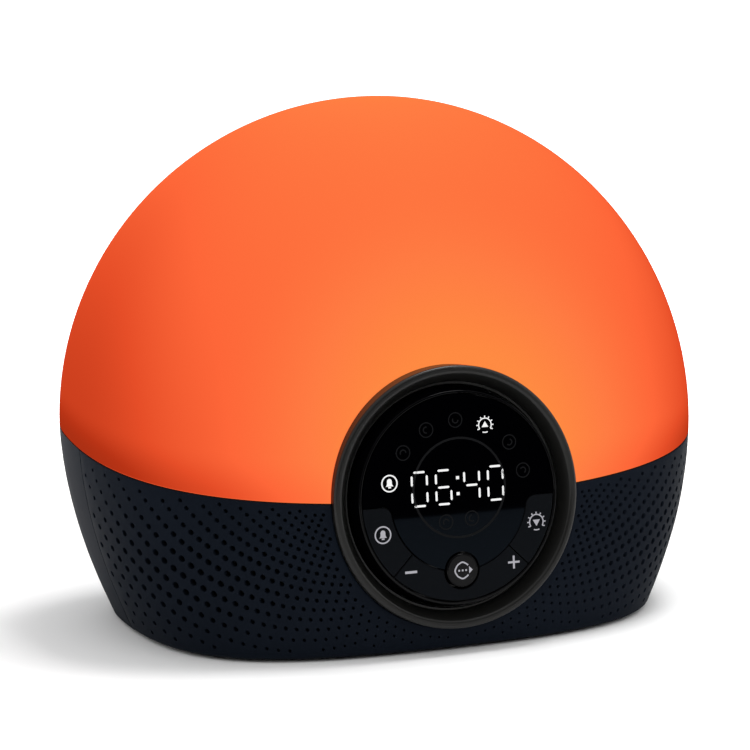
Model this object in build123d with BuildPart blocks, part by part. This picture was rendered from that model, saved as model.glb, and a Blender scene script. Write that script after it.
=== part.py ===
from build123d import *
import os
from math import atan2, cos, degrees, exp, hypot, radians, sin, sqrt, tan

# Sunrise alarm clock: a domed lamp on a dark perforated base with a round display and keys.
# Millimetres, +Z up, display faces -Y, origin under the middle of the bounding box.

# ---------------------------------------------------------------- body form
WIDTH = 210.0            # across the widest section
FRONT_REACH = 72.0       # from the widest plane forward
REAR_REACH = 48.5        # from the widest plane back
TOP_Z = 167.0
BASE_Z = 1.0             # underside of the housings, above the rubber feet
WIDEST_Z = 65.0
WIDEST_Y = 13.0          # the widest plane, set so that the whole clock is centred on Y = 0
LEAN_Z = 29.0            # height where the front stands furthest forward
LEAN_POWER = 1.6         # how straight the front leans back above that
FOOT_TAPER = 0.157       # how much narrower the sides are at the underside
FRONT_TAPER = 0.03
REAR_TAPER = 0.17
TAPER_POWER = 1.78
FRONT_FULLNESS = 2.95    # exponent of the section's outline: 2 is an ellipse, more is squarer
REAR_FULLNESS = 2.7
BASE_EDGE_RADIUS = 1.2

SEAM_Z = 56.3            # dome meets base, on the centre line of the widest plane
SEAM_PITCH = 0.12        # the seam drops this much for each millimetre forward
SEAM_SAG_RADIUS = 919.0  # and curves up to the sides on this radius
PARTING_Y = -2.0         # front housing meets rear housing

DOME_WALL = 3.2
HOUSING_WALL = 2.4
FLOOR_WALL = 2.4
LIP_GAP = 0.3            # dome's lip to the inside of the housings
LIP_WALL = 1.4
LIP_DROP = 5.0
PART_GAP = 0.15          # at a joint line between two fixed shells
FIT_GAP = 0.3            # round a fixed piece that drops into another

# ---------------------------------------------------------------- display, in its own tilted frame
DISPLAY_Y = -57.7
DISPLAY_Z = 48.4
DISPLAY_TILT = 6.4       # degrees, looking up
KEY_OUTER_RADIUS = 31.6
RING_WIDTH = 8.8         # keys' outer edge to the ring's outer edge
RING_CREST = 0.6         # crest of the ring below the display's front
RING_CREST_WIDTH = 2.3
RING_EDGE_RADIUS = 1.1
RING_SLOPE_WIDTH = 2.8
RING_SLOPE_DEPTH = 4.6
GUTTER_DEPTH = 5.4
BODY_GAP = 0.4           # display body to the ring's bore
RING_SHOULDER = 9.0
RING_SHOULDER_WIDTH = 3.2
BARREL_DEPTH = 13.0
RING_CUT_DEPTH = 20.0    # how deep the shells are cut for the ring
SADDLE_WALL = 2.2
SADDLE_LIP = 2.0

BODY_RIM_WIDTH = 0.8
BODY_RIM_EDGE = 0.3
BODY_WIDTH = 2.6         # keys' outer edge to the body's flank
FLANK_DEPTH = 4.6
WEB_DEPTH = 3.4
WEB_WALL = 1.5
BOARD_STEP = 1.2
BOARD_DEPTH = 9.2
BOARD_THICKNESS = 1.6
COVER_WALL = 1.5
COVER_RIM_WIDTH = 1.4
SCREW_CIRCLE_INSET = 1.3 # screw circles inside the ring's and the barrel's outer edge
RING_SCREW_ANGLES = (210, 270, 330)
COVER_SCREW_ANGLES = (45, 135, 225, 315)

KEY_SINK = 0.15          # key faces below the display's front
KEY_THICKNESS = 2.4
KEY_GAP = 0.3            # round every moving key
KEY_WIDTH = 9.0
KEY_TOP = -1.1           # upper edge of the side keys, below the display's centre
KEY_CORNER = 3.0
KEY_EDGE_RADIUS = 0.25
KEY_DIVIDERS = (225, 315)    # angles of the gaps between side keys and rocker
KEY_TRAVEL = 0.5
SWITCH_SLACK = 0.1       # left between stem and plunger with a key fully pressed
MENU_RADIUS = 5.2
MENU_GAP = 0.6           # round the menu key
MENU_PROUD = 0.5
STEM_RADIUS = 1.3
STEM_CLEARANCE = 0.08
SWITCH_HEIGHT = 1.6
SWITCH_WIDTH = 4.0
PLUNGER_RADIUS = 0.9
PLUNGER_HEIGHT = 0.6
STEM_INSET = 4.55        # stems on a circle inside the keys' outer edge
SIDE_STEM_ANGLE = 23.0   # below the horizontal
ROCKER_STEM_ANGLE = 52.5
MENU_INSET = 9.3
ROCKER_STEM_ROOM = 0.4
ROCKER_PIN_RADIUS = 0.7
ROCKER_PIN_DEPTH = 5.2
ROCKER_KEEL = (1.6, 1.8)     # width and length
ROCKER_KEEL_INSET = 2.6
ROCKER_BEARING = (4.6, 5.0)  # width and length of the block that holds the pin
ROCKER_BEARING_DEPTH = 6.8

DIGITS_X = -0.6
DIGITS_Y = 3.7
DIGITS_WIDTH = 28.0
DIGITS_HEIGHT = 12.6
ICON_RADIUS = 3.2
ALARM_ICON = (-21.4, 5.0)
SUNRISE_ICON = (9.8, 20.6)

# ---------------------------------------------------------------- grille and speakers
SPEAKER_INSET = 34.0     # from the widest section's side to a speaker's axis
SPEAKER_Z = 25.0
SPEAKER_RADIUS = 20.0
SPEAKER_DEPTH = 9.2      # front of the speaker's flange behind the grille's face
SPEAKER_FLANGE = 1.6
SPEAKER_CONE_RADIUS = 16.4
BASKET_NECK_RADIUS = 9.0
BASKET_DEPTH = 9.0
MAGNET_RADIUS = 11.0
MAGNET_THICKNESS = 7.0
COLLAR_WALL = 1.8
CLOTH_THICKNESS = 0.4
CLOTH_GAP = 0.1

GRILLE_CENTRE = (-53.06, 95.73)  # along the front and up: the columns start on an arc round this
GRILLE_ARC_RADIUS = 88.39
GRILLE_FIRST_TURN = -7.632   # degrees along that arc at column 0
GRILLE_TURN_STEP = 2.452
GRILLE_LEAN = 20.86      # degrees from upright at column 0
GRILLE_LEAN_STEP = 1.623
GRILLE_ROW = 3.398       # row to row at column 0
GRILLE_ROW_STEP = 0.1257 # wider by this at each column
GRILLE_ROW_TIGHTENING = 0.088
GRILLE_COLUMNS = (-20, 40)
GRILLE_ROWS = (-8, 30)
GRILLE_LEAST_PITCH = 1.6
GRILLE_EDGE = 2.2        # holes keep this far from the ring, the seam, the foot and the parting line
HOLE_LARGEST = 1.1       # radius where the field is most open
HOLE_SMALLEST = 0.3
HOLE_PLACE = (101.0, 27.0)   # along the front and up
HOLE_FALLOFF = (61.0, 25.3)
HOLE_OPEN_RADIUS = 0.88  # smaller ones are only dimples in the surface

# ---------------------------------------------------------------- lamp, boards and fasteners
TRAY_Z = 47.0
TRAY_WALL = 2.0
TRAY_GAP = 0.4
TRAY_RIM = 3.0
HEAT_SINK_RADIUS = 32.0
HEAT_SINK_WALL = 2.5
HEAT_SINK_Y = 18.0
LED_BOARD_RADIUS = 29.0
LED_BOARD_WALL = 1.6
LED_WIDTH = 3.5
LED_HEIGHT = 0.9
LED_RINGS = ((11.0, 6), (24.0, 12))   # radius and number of each ring of LEDs
LED_SCREW_RADIUS = 26.8
LED_SCREW_ANGLES = (45, 135, 225, 315)
TRAY_BOSS_HEIGHT = 4.0
LAMP_LEAD_X = -22.0
LAMP_LEAD_Y = 2.0

MAIN_BOARD_Z = 12.0
MAIN_BOARD_WIDTH = 100.0
MAIN_BOARD_DEPTH = 42.0
MAIN_BOARD_Y = 24.0
MAIN_BOARD_WALL = 1.6
BOARD_SCREW_INSET = 4.5
POST_RADIUS = 3.6

RECESS_Y = 50.0          # floor of the connector recess in the back
RECESS_X = -22.0
RECESS_WIDTH = 24.0
RECESS_LOW_Z = 10.0
RECESS_HEIGHT = 17.0
RECESS_WALL = 2.2
JACK_WIDTH = 9.0
JACK_HEIGHT = 11.0
JACK_LENGTH = 13.0
JACK_NOSE_RADIUS = 3.9
JACK_BORE_RADIUS = 3.05
JACK_BORE_DEPTH = 9.0
JACK_PIN_RADIUS = 1.0

VENT_COUNT = 9
VENT_PITCH = 4.6
VENT_WIDTH = 2.0
VENT_HEIGHT = 15.0
VENT_X = 24.0
VENT_Z = 19.0

SHELL_SCREWS = ((27.0, 6.8), (10.5, 40.0))    # inset from the widest side, and height
SHELL_BOSS_RADIUS = 4.2
SHELL_BOSS_LENGTH = 14.0
SHELL_RIB = 2.0
SCREW_SEAT_Y = 10.0
SCREW_RADIUS = 1.25
SCREW_CLEARANCE = 0.05
SCREW_HEAD_RADIUS = 2.7
SCREW_HEAD_HEIGHT = 1.8
SCREW_LENGTH = 22.0
SCREW_HOLE_RADIUS = 1.7      # where it passes without biting
WELL_RADIUS = 3.0
SMALL_SCREW_RADIUS = 0.8
SMALL_HEAD_RADIUS = 1.6
SMALL_HEAD_HEIGHT = 1.0
SMALL_SCREW_BITE = 4.0
SMALL_HOLE_RADIUS = 1.0

TRAY_POSTS = ((37.0, 10.0), (47.0, 38.0))     # inset from the widest side, and Y
FEET = ((41.0, -30.0), (47.0, 34.0))
FOOT_RADIUS = 6.0
FOOT_RECESS = 1.2
FOOT_GAP = 0.2

LEAD_RADIUS = 0.8
RIBBON_WIDTH = 14.0
RIBBON_THICKNESS = 0.5
RIBBON_RADIUS = 5.0
RIBBON_SLOT = (16.0, 3.0)
RIBBON_Y = -14.0             # where it leaves the display board

LEAD_RUN = 9.0               # straight length of a lead beside its ends
PLUG_HEIGHT = 4.0
SPEAKER_PLUG = (38.0, 8.0)
LAMP_PLUG = (-28.0, 9.0)
RIBBON_PLUG = (0.0, 7.0)
CHIPS = (                    # place, width and depth, height
    (SPEAKER_PLUG, (6.0, 5.0), PLUG_HEIGHT),
    ((-SPEAKER_PLUG[0], SPEAKER_PLUG[1]), (6.0, 5.0), PLUG_HEIGHT),
    (LAMP_PLUG, (6.0, 5.0), PLUG_HEIGHT),
    (RIBBON_PLUG, (17.0, 5.0), PLUG_HEIGHT),
    ((2.0, 26.0), (13.0, 13.0), 1.8),
    ((-17.0, 24.0), (8.0, 8.0), 4.2),
)
CANS = (                     # place, radius, height
    ((-38.0, 24.0), 4.0, 11.0),
    ((-36.0, 34.0), 4.0, 11.0),
    ((-8.0, 39.0), 2.6, 7.0),
    ((14.0, 12.0), 2.6, 7.0),
)
CELL_PLACE = (30.0, 30.0)
CELL_RADIUS = 10.0
CELL_HEIGHT = 3.2
CELL_WALL = 1.0

HALF_WIDTH = WIDTH / 2
SPEAKER_X = HALF_WIDTH - SPEAKER_INSET
RING_RADIUS = KEY_OUTER_RADIUS + RING_WIDTH
RING_LIP_RADIUS = RING_RADIUS - RING_CREST_WIDTH
RING_SLOPE_RADIUS = RING_LIP_RADIUS - RING_SLOPE_WIDTH
BARREL_RADIUS = RING_RADIUS - RING_SHOULDER_WIDTH
BODY_FLANK_RADIUS = KEY_OUTER_RADIUS + BODY_WIDTH
BOARD_STEP_RADIUS = KEY_OUTER_RADIUS - BOARD_STEP
RING_SCREW_RADIUS = RING_RADIUS - SCREW_CIRCLE_INSET
COVER_SCREW_RADIUS = BARREL_RADIUS - SCREW_CIRCLE_INSET
KEY_INNER_RADIUS = KEY_OUTER_RADIUS - KEY_WIDTH
MENU_Y = MENU_INSET - KEY_OUTER_RADIUS
ROCKER_KEEL_Y = ROCKER_KEEL_INSET - KEY_OUTER_RADIUS
SWITCH_GAP = KEY_TRAVEL + SWITCH_SLACK
DISPLAY_NORMAL = Vector(0, -cos(radians(DISPLAY_TILT)), sin(radians(DISPLAY_TILT)))
DISPLAY_UP = Vector(0, sin(radians(DISPLAY_TILT)), cos(radians(DISPLAY_TILT)))
DISPLAY_CENTRE = Vector(0, DISPLAY_Y, DISPLAY_Z)
FACE = Plane(origin=DISPLAY_CENTRE, x_dir=(1, 0, 0), z_dir=DISPLAY_NORMAL)
TURNING = Plane(origin=DISPLAY_CENTRE, x_dir=(1, 0, 0), z_dir=-DISPLAY_UP)
DISPLAY_AXIS = Axis(DISPLAY_CENTRE, DISPLAY_NORMAL)

os.makedirs("parts", exist_ok=True)


def finish(piece, name):
    """Labels a finished piece and writes it as the node of that name."""
    piece.part.label = name
    export_step(piece.part, f"parts/{name}.step")
    return piece.part


def face_at(depth):
    """The display's plane moved back by a depth."""
    return FACE.offset(-depth)


def display_point(x, y, depth):
    """A place in the display's frame: across, up and back from its front."""
    return DISPLAY_CENTRE + Vector(x, 0, 0) + DISPLAY_UP * y - DISPLAY_NORMAL * depth


def around(radius, angles):
    """Places on a circle in the plane in use."""
    return [(radius * cos(radians(a)), radius * sin(radians(a))) for a in angles]


def to_both_sides(places):
    """A place on each side of the clock for each inset from its widest side."""
    return [(way * (HALF_WIDTH - inset), y) for inset, y in places for way in (1, -1)]


def small_screws(seat, places, length):
    """Pan-head screws with their heads on a seat plane that faces the head; one solid each."""
    with BuildPart() as screws:
        with BuildSketch(seat):
            with Locations(*places):
                Circle(SMALL_HEAD_RADIUS)
        extrude(amount=SMALL_HEAD_HEIGHT)
        with BuildSketch(seat):
            with Locations(*places):
                Circle(SMALL_SCREW_RADIUS)
        extrude(amount=-length)
    return screws


# ================================================================ body form
def half_width(z, inset=0.0):
    """Half the width at a height: a quarter ellipse up to the top, a soft taper down to the foot."""
    if z >= WIDEST_Z:
        share = min((z - WIDEST_Z) / (TOP_Z - inset - WIDEST_Z), 1.0)
        return (HALF_WIDTH - inset) * sqrt(1 - share ** 2)
    share = (WIDEST_Z - z) / (WIDEST_Z - BASE_Z)
    return HALF_WIDTH * (1 - FOOT_TAPER * share ** TAPER_POWER) - inset


def front_reach(z, inset=0.0):
    """Reach forward of the widest plane: the front leans back above its own deepest height."""
    if z >= LEAN_Z:
        share = min((z - LEAN_Z) / (TOP_Z - inset - LEAN_Z), 1.0)
        return (FRONT_REACH - inset) * (1 - share ** LEAN_POWER) ** (1 / LEAN_POWER)
    share = (LEAN_Z - z) / (LEAN_Z - BASE_Z)
    return FRONT_REACH * (1 - FRONT_TAPER * share ** TAPER_POWER) - inset


def rear_reach(z, inset=0.0):
    """Reach back from the widest plane."""
    if z >= WIDEST_Z:
        share = min((z - WIDEST_Z) / (TOP_Z - inset - WIDEST_Z), 1.0)
        return (REAR_REACH - inset) * sqrt(1 - share ** 2)
    share = (WIDEST_Z - z) / (WIDEST_Z - BASE_Z)
    return REAR_REACH * (1 - REAR_TAPER * share ** TAPER_POWER) - inset


def handle_share(fullness):
    """Handle length of the quarter Bezier that passes through a superellipse's middle point."""
    return (2 ** (-1 / fullness) - 0.5) / 0.375


FRONT_HANDLE = handle_share(FRONT_FULLNESS)
REAR_HANDLE = handle_share(REAR_FULLNESS)


def body_section(z, inset):
    """Closed outline of the body at a height: two full quarters in front and two behind."""
    side = half_width(z, inset)
    front = front_reach(z, inset)
    rear = rear_reach(z, inset)
    with BuildSketch(Plane.XY.offset(z)) as section:
        with BuildLine():
            for reach, handle in ((-front, FRONT_HANDLE), (rear, REAR_HANDLE)):
                for way in (1, -1):
                    Bezier(
                        (way * side, WIDEST_Y),
                        (way * side, WIDEST_Y + handle * reach),
                        (way * handle * side, WIDEST_Y + reach),
                        (0, WIDEST_Y + reach),
                    )
        make_face()
    return section.sketch


def body_form(inset, low_z):
    """Solid of the whole body, inset by a wall: a loft through its sections up to a closed crown."""
    crown = TOP_Z - inset
    lower = [low_z + (WIDEST_Z - low_z) * step / 4 for step in range(4)]
    upper = [WIDEST_Z + (crown - WIDEST_Z) * sin(radians(a)) for a in (0, 15, 30, 44, 57, 68, 77, 84, 88)]
    with BuildPart() as form:
        for z in lower + upper:
            add(body_section(z, inset))
        loft()
    return form.part


def seam_z(x, y):
    """Height of the joint between dome and base."""
    sag = SEAM_SAG_RADIUS - sqrt(SEAM_SAG_RADIUS ** 2 - x ** 2)
    return SEAM_Z + SEAM_PITCH * (y - WIDEST_Y) + sag


def above_seam(shift):
    """Everything above the seam, with the seam moved up by a shift."""
    reach = WIDTH * 0.6
    sag = SEAM_SAG_RADIUS - sqrt(SEAM_SAG_RADIUS ** 2 - reach ** 2)
    low = SEAM_Z + shift
    with BuildPart() as block:
        with BuildSketch(Plane(origin=(0, WIDEST_Y, 0), x_dir=(1, 0, 0), z_dir=(0, -1, 0))):
            with BuildLine():
                ThreePointArc((-reach, low + sag), (0, low), (reach, low + sag))
                Polyline((reach, low + sag), (reach, TOP_Z * 1.3), (-reach, TOP_Z * 1.3), (-reach, low + sag))
            make_face()
        extrude(amount=WIDTH / 2, dir=(0, 1, SEAM_PITCH), both=True)
    return block.part


def display_bore(radius, back):
    """Cylinder on the display's axis, from well in front of the clock to a depth."""
    with BuildPart() as bore:
        with BuildSketch(face_at(back)):
            Circle(radius)
        extrude(amount=back + FRONT_REACH / 2)
    return bore.part


OUTER = body_form(0, BASE_Z)
ABOVE_SEAM = above_seam(0)
BASE_CAVITY = body_form(HOUSING_WALL, BASE_Z + FLOOR_WALL)
RING_HOLE = display_bore(RING_RADIUS + PART_GAP, RING_CUT_DEPTH)


# ================================================================ light dome
def make_light_dome():
    """Translucent shell that glows, with a lip that drops inside the housings."""
    lip_inset = HOUSING_WALL + LIP_GAP
    saddle_room = RING_RADIUS + PART_GAP + SADDLE_WALL + FIT_GAP
    above_joint = above_seam(PART_GAP)
    with BuildPart() as lip:
        add(body_form(lip_inset, SEAM_Z / 2))
        add(above_seam(-LIP_DROP), mode=Mode.INTERSECT)
    with BuildPart() as hollow:
        add(body_form(DOME_WALL, SEAM_Z / 2))
        add(above_seam(LIP_DROP), mode=Mode.INTERSECT)
        add(body_form(lip_inset + LIP_WALL, SEAM_Z / 2))
    with BuildPart() as saddle_notch:
        add(display_bore(saddle_room, RING_CUT_DEPTH))
        add(above_joint, mode=Mode.SUBTRACT)
    with BuildPart() as light_dome:
        add(OUTER)
        add(above_joint, mode=Mode.INTERSECT)
        add(lip.part)
        add(hollow.part, mode=Mode.SUBTRACT)
        add(RING_HOLE, mode=Mode.SUBTRACT)
        add(saddle_notch.part, mode=Mode.SUBTRACT)
    return finish(light_dome, "light_dome")


# ================================================================ speakers' places
def surface_angle(x, z):
    """Direction of the front surface's normal in plan, from straight ahead, on a side of the clock."""
    share = abs(x) / half_width(z)
    slope = front_reach(z) / half_width(z) * share ** (FRONT_FULLNESS - 1)
    slope /= (1 - share ** FRONT_FULLNESS) ** (1 - 1 / FRONT_FULLNESS)
    return degrees(atan2(slope, 1))


def surface_y(x, z):
    """Where the front surface stands at a place across and up."""
    share = min(abs(x) / half_width(z), 1.0)
    return WIDEST_Y - front_reach(z) * (1 - share ** FRONT_FULLNESS) ** (1 / FRONT_FULLNESS)


SPEAKER_TURN = surface_angle(SPEAKER_X, SPEAKER_Z)


def speaker_plane(way, depth):
    """Plane square to a speaker's axis, a depth behind the grille; its normal points out."""
    turn = radians(SPEAKER_TURN)
    out = Vector(way * sin(turn), -cos(turn), 0)
    centre = Vector(way * SPEAKER_X, surface_y(SPEAKER_X, SPEAKER_Z), SPEAKER_Z)
    return Plane(origin=centre - out * depth, x_dir=(cos(turn), way * sin(turn), 0), z_dir=out)


# ================================================================ grille
def front_curve(steps=400):
    """Points along the front's section, from the side to the middle, as share of side and of reach."""
    points = []
    for step in range(steps + 1):
        t = step / steps
        u = 1 - t
        across = u ** 3 + 3 * u * u * t + 3 * u * t * t * FRONT_HANDLE
        forward = 3 * u * u * t * FRONT_HANDLE + 3 * u * t * t + t ** 3
        points.append((across, forward))
    return points


FRONT_CURVE = front_curve()


def front_point(distance, z):
    """Point and plan angle on the front surface, at a distance along the widest section's curve."""
    side = half_width(z)
    reach = front_reach(z)
    walked = 0.0
    previous = FRONT_CURVE[-1]
    for current in reversed(FRONT_CURVE[:-1]):
        step = hypot((current[0] - previous[0]) * HALF_WIDTH, (current[1] - previous[1]) * FRONT_REACH)
        if walked + step >= abs(distance):
            break
        walked += step
        previous = current
    way = 1 if distance >= 0 else -1
    part = (abs(distance) - walked) / step
    across = previous[0] + (current[0] - previous[0]) * part
    forward = previous[1] + (current[1] - previous[1]) * part
    angle = atan2((previous[1] - current[1]) * reach, (current[0] - previous[0]) * side)
    return Vector(way * across * side, WIDEST_Y - forward * reach, z), way * degrees(angle)


def hole_radius(distance, z):
    """A hole's radius, from how far it lies from the most open place of its side."""
    away = hypot((abs(distance) - HOLE_PLACE[0]) / HOLE_FALLOFF[0], (z - HOLE_PLACE[1]) / HOLE_FALLOFF[1])
    return HOLE_SMALLEST + (HOLE_LARGEST - HOLE_SMALLEST) * exp(-(away ** 2))


def column_point(column, row):
    """A lattice place on the left side: its column starts on an arc and leans as the columns fan out."""
    turned = radians(GRILLE_FIRST_TURN + GRILLE_TURN_STEP * column)
    lean = radians(GRILLE_LEAN + GRILLE_LEAN_STEP * column)
    run = row * (GRILLE_ROW + GRILLE_ROW_STEP * column) - GRILLE_ROW_TIGHTENING * row ** 2
    distance = GRILLE_CENTRE[0] - GRILLE_ARC_RADIUS * sin(turned) + run * sin(lean)
    return distance, GRILLE_CENTRE[1] - GRILLE_ARC_RADIUS * cos(turned) + run * cos(lean)


def clear_of_edges(point, radius):
    """Whether a hole's rim keeps off the ring, the seam, the foot and the parting line."""
    across = point - DISPLAY_CENTRE
    margins = (
        hypot(across.X, across.dot(DISPLAY_UP)) - RING_RADIUS,
        seam_z(point.X, point.Y) - point.Z,
        point.Z - BASE_Z,
        PARTING_Y - point.Y,
    )
    return min(margins) > GRILLE_EDGE + radius


def grille_places():
    """Fanned columns of holes that open right through, on both sides: point, plan angle and radius."""
    places = []
    for column in range(*GRILLE_COLUMNS):
        for row in range(*GRILLE_ROWS):
            pitch = GRILLE_ROW + GRILLE_ROW_STEP * column - 2 * GRILLE_ROW_TIGHTENING * row
            distance, z = column_point(column, row)
            radius = hole_radius(distance, z)
            if pitch < GRILLE_LEAST_PITCH or distance > 0 or radius < HOLE_OPEN_RADIUS:
                continue
            for way in (1, -1):
                point, turn = front_point(way * distance, z)
                if clear_of_edges(point, radius):
                    places.append((point, turn, radius))
    return places


def grille_cutters():
    """Prisms square to the surface at every open hole."""
    with BuildPart() as cutters:
        for point, turn, radius in grille_places():
            out = Vector(sin(radians(turn)), -cos(radians(turn)), 0)
            with BuildSketch(Plane(origin=point + out, x_dir=(0, 0, 1), z_dir=-out)):
                Circle(radius)
        extrude(amount=1 + HOUSING_WALL * 1.6)
    return cutters.part


# ================================================================ housings
def make_base_shell():
    """Both housings' common shell, closed by a floor, before it is parted."""
    with BuildPart() as shell:
        add(OUTER)
        fillet(shell.faces().sort_by(Axis.Z)[0].edges(), BASE_EDGE_RADIUS)
        add(BASE_CAVITY, mode=Mode.SUBTRACT)
        add(RING_HOLE, mode=Mode.SUBTRACT)
        add(ABOVE_SEAM, mode=Mode.SUBTRACT)
    return shell.part


BASE_SHELL = make_base_shell()
JOINT_FRONT = Plane.XZ.offset(PART_GAP / 2 - PARTING_Y)
JOINT_REAR = Plane.XZ.offset(-PART_GAP / 2 - PARTING_Y)


def feet_recesses():
    """Pockets for the rubber feet."""
    with BuildPart() as recesses:
        with BuildSketch(Plane.XY):
            with Locations(*to_both_sides(FEET)):
                Circle(FOOT_RADIUS + FOOT_GAP)
        extrude(amount=BASE_Z + FOOT_RECESS)
    return recesses.part


def make_saddle():
    """Half tube behind the front shell that carries the display ring's shoulder."""
    inner = RING_RADIUS + PART_GAP
    lip = BARREL_RADIUS + PART_GAP
    outer = inner + SADDLE_WALL
    low = -(RING_SHOULDER + SADDLE_LIP)
    with BuildPart() as saddle:
        with BuildSketch(TURNING):
            with BuildLine():
                Polyline((inner, 0), (outer, 0), (outer, low), (lip, low), (lip, -RING_SHOULDER),
                         (inner, -RING_SHOULDER), (inner, 0))
            make_face()
        revolve(axis=DISPLAY_AXIS)
        add(BASE_CAVITY, mode=Mode.INTERSECT)
        add(ABOVE_SEAM, mode=Mode.SUBTRACT)
        with BuildSketch(face_at(-low)):
            with Locations(*around(RING_SCREW_RADIUS, RING_SCREW_ANGLES)):
                Circle(SMALL_HOLE_RADIUS)
        extrude(amount=SADDLE_LIP + FIT_GAP, mode=Mode.SUBTRACT)
    return saddle.part


def make_front_housing():
    """Perforated front shell with its floor, the ring's saddle, speaker collars and screw bosses."""
    with BuildPart() as inside:
        for way in (1, -1):
            with BuildSketch(speaker_plane(way, SPEAKER_DEPTH)):
                Circle(SPEAKER_RADIUS)
                Circle(SPEAKER_RADIUS - COLLAR_WALL, mode=Mode.SUBTRACT)
            extrude(amount=SPEAKER_DEPTH * 2)
        with BuildSketch(JOINT_FRONT):
            with Locations(*to_both_sides(SHELL_SCREWS)):
                Circle(SHELL_BOSS_RADIUS)
            for x, z in to_both_sides(SHELL_SCREWS):
                with Locations((x * (1 + SHELL_BOSS_RADIUS / abs(x)), z)):
                    Rectangle(2 * SHELL_BOSS_RADIUS, SHELL_RIB)
        extrude(amount=SHELL_BOSS_LENGTH)
        add(OUTER, mode=Mode.INTERSECT)
    with BuildPart() as front_housing:
        add(BASE_SHELL)
        split(bisect_by=JOINT_FRONT, keep=Keep.TOP)
        add(inside.part)
        add(make_saddle())
        with BuildSketch(JOINT_FRONT):
            with Locations(*to_both_sides(SHELL_SCREWS)):
                Circle(SCREW_RADIUS + SCREW_CLEARANCE)
        extrude(amount=SHELL_BOSS_LENGTH - SHELL_RIB, mode=Mode.SUBTRACT)
        add(feet_recesses(), mode=Mode.SUBTRACT)
        add(grille_cutters(), mode=Mode.SUBTRACT)
    return finish(front_housing, "front_housing")


def make_rear_housing():
    """Plain rear shell with screw wells, vents, the connector recess and the posts inside."""
    jack_z = MAIN_BOARD_Z + MAIN_BOARD_WALL + JACK_HEIGHT / 2
    floor_top = Plane.XY.offset(BASE_Z + FLOOR_WALL / 2)
    recess_z = RECESS_LOW_Z + RECESS_HEIGHT / 2
    with BuildPart() as inside:
        with BuildSketch(JOINT_REAR):
            with Locations(*to_both_sides(SHELL_SCREWS)):
                Circle(SHELL_BOSS_RADIUS)
            for x, z in to_both_sides(SHELL_SCREWS):
                with Locations((x * (1 + SHELL_BOSS_RADIUS / abs(x)), z)):
                    Rectangle(2 * SHELL_BOSS_RADIUS, SHELL_RIB)
        extrude(amount=-REAR_REACH)
        with BuildSketch(Plane.XZ.offset(-(RECESS_Y - RECESS_WALL))):
            with Locations((RECESS_X, recess_z)):
                Rectangle(RECESS_WIDTH + 2 * RECESS_WALL, RECESS_HEIGHT + 2 * RECESS_WALL)
        extrude(amount=-REAR_REACH)
        with BuildSketch(floor_top):
            with Locations(*to_both_sides(TRAY_POSTS)):
                Circle(POST_RADIUS)
        extrude(amount=TRAY_Z - floor_top.origin.Z)
        with BuildSketch(floor_top):
            with Locations(*board_screw_places()):
                Circle(POST_RADIUS)
        extrude(amount=MAIN_BOARD_Z - floor_top.origin.Z)
        add(OUTER, mode=Mode.INTERSECT)
    with BuildPart() as rear_housing:
        add(BASE_SHELL)
        split(bisect_by=JOINT_REAR, keep=Keep.BOTTOM)
        add(inside.part)
        with BuildSketch(JOINT_REAR):
            with Locations(*to_both_sides(SHELL_SCREWS)):
                Circle(SCREW_HOLE_RADIUS)
        extrude(amount=-REAR_REACH, mode=Mode.SUBTRACT)
        with BuildSketch(Plane.XZ.offset(-SCREW_SEAT_Y)):
            with Locations(*to_both_sides(SHELL_SCREWS)):
                Circle(WELL_RADIUS)
        extrude(amount=-REAR_REACH * 2, mode=Mode.SUBTRACT)
        with BuildSketch(Plane.XZ.offset(-RECESS_Y)):
            with Locations((RECESS_X, recess_z)):
                Rectangle(RECESS_WIDTH, RECESS_HEIGHT)
        extrude(amount=-REAR_REACH, mode=Mode.SUBTRACT)
        with BuildSketch(Plane.XZ.offset(-(RECESS_Y - 2 * RECESS_WALL))):
            with Locations((RECESS_X, jack_z)):
                Circle(JACK_NOSE_RADIUS + PART_GAP)
            with Locations((VENT_X, VENT_Z)):
                with GridLocations(VENT_PITCH, VENT_PITCH, VENT_COUNT, 1):
                    SlotOverall(VENT_HEIGHT, VENT_WIDTH, rotation=90)
        extrude(amount=-REAR_REACH, mode=Mode.SUBTRACT)
        with BuildSketch(Plane.XY.offset(TRAY_Z)):
            with Locations(*to_both_sides(TRAY_POSTS)):
                Circle(SMALL_SCREW_RADIUS + SCREW_CLEARANCE)
        extrude(amount=-2 * SMALL_SCREW_BITE, mode=Mode.SUBTRACT)
        with BuildSketch(Plane.XY.offset(MAIN_BOARD_Z)):
            with Locations(*board_screw_places()):
                Circle(SMALL_SCREW_RADIUS + SCREW_CLEARANCE)
        extrude(amount=-SMALL_SCREW_BITE - 1, mode=Mode.SUBTRACT)
        add(feet_recesses(), mode=Mode.SUBTRACT)
    return finish(rear_housing, "rear_housing")


def make_housing_screws():
    """Screws that pull the two housings together, one solid each."""
    seat = Plane.XZ.offset(-SCREW_SEAT_Y)
    with BuildPart() as housing_screws:
        with BuildSketch(seat):
            with Locations(*to_both_sides(SHELL_SCREWS)):
                Circle(SCREW_HEAD_RADIUS)
        extrude(amount=-SCREW_HEAD_HEIGHT)
        with BuildSketch(seat):
            with Locations(*to_both_sides(SHELL_SCREWS)):
                Circle(SCREW_RADIUS)
        extrude(amount=SCREW_LENGTH)
    return finish(housing_screws, "housing_screws")


def make_rubber_feet():
    """Four soft discs in the floor's pockets."""
    with BuildPart() as rubber_feet:
        with BuildSketch(Plane.XY):
            with Locations(*to_both_sides(FEET)):
                Circle(FOOT_RADIUS)
        extrude(amount=BASE_Z + FOOT_RECESS)
        fillet(rubber_feet.edges().group_by(Axis.Z)[0], BASE_Z / 2)
    return finish(rubber_feet, "rubber_feet")


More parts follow.
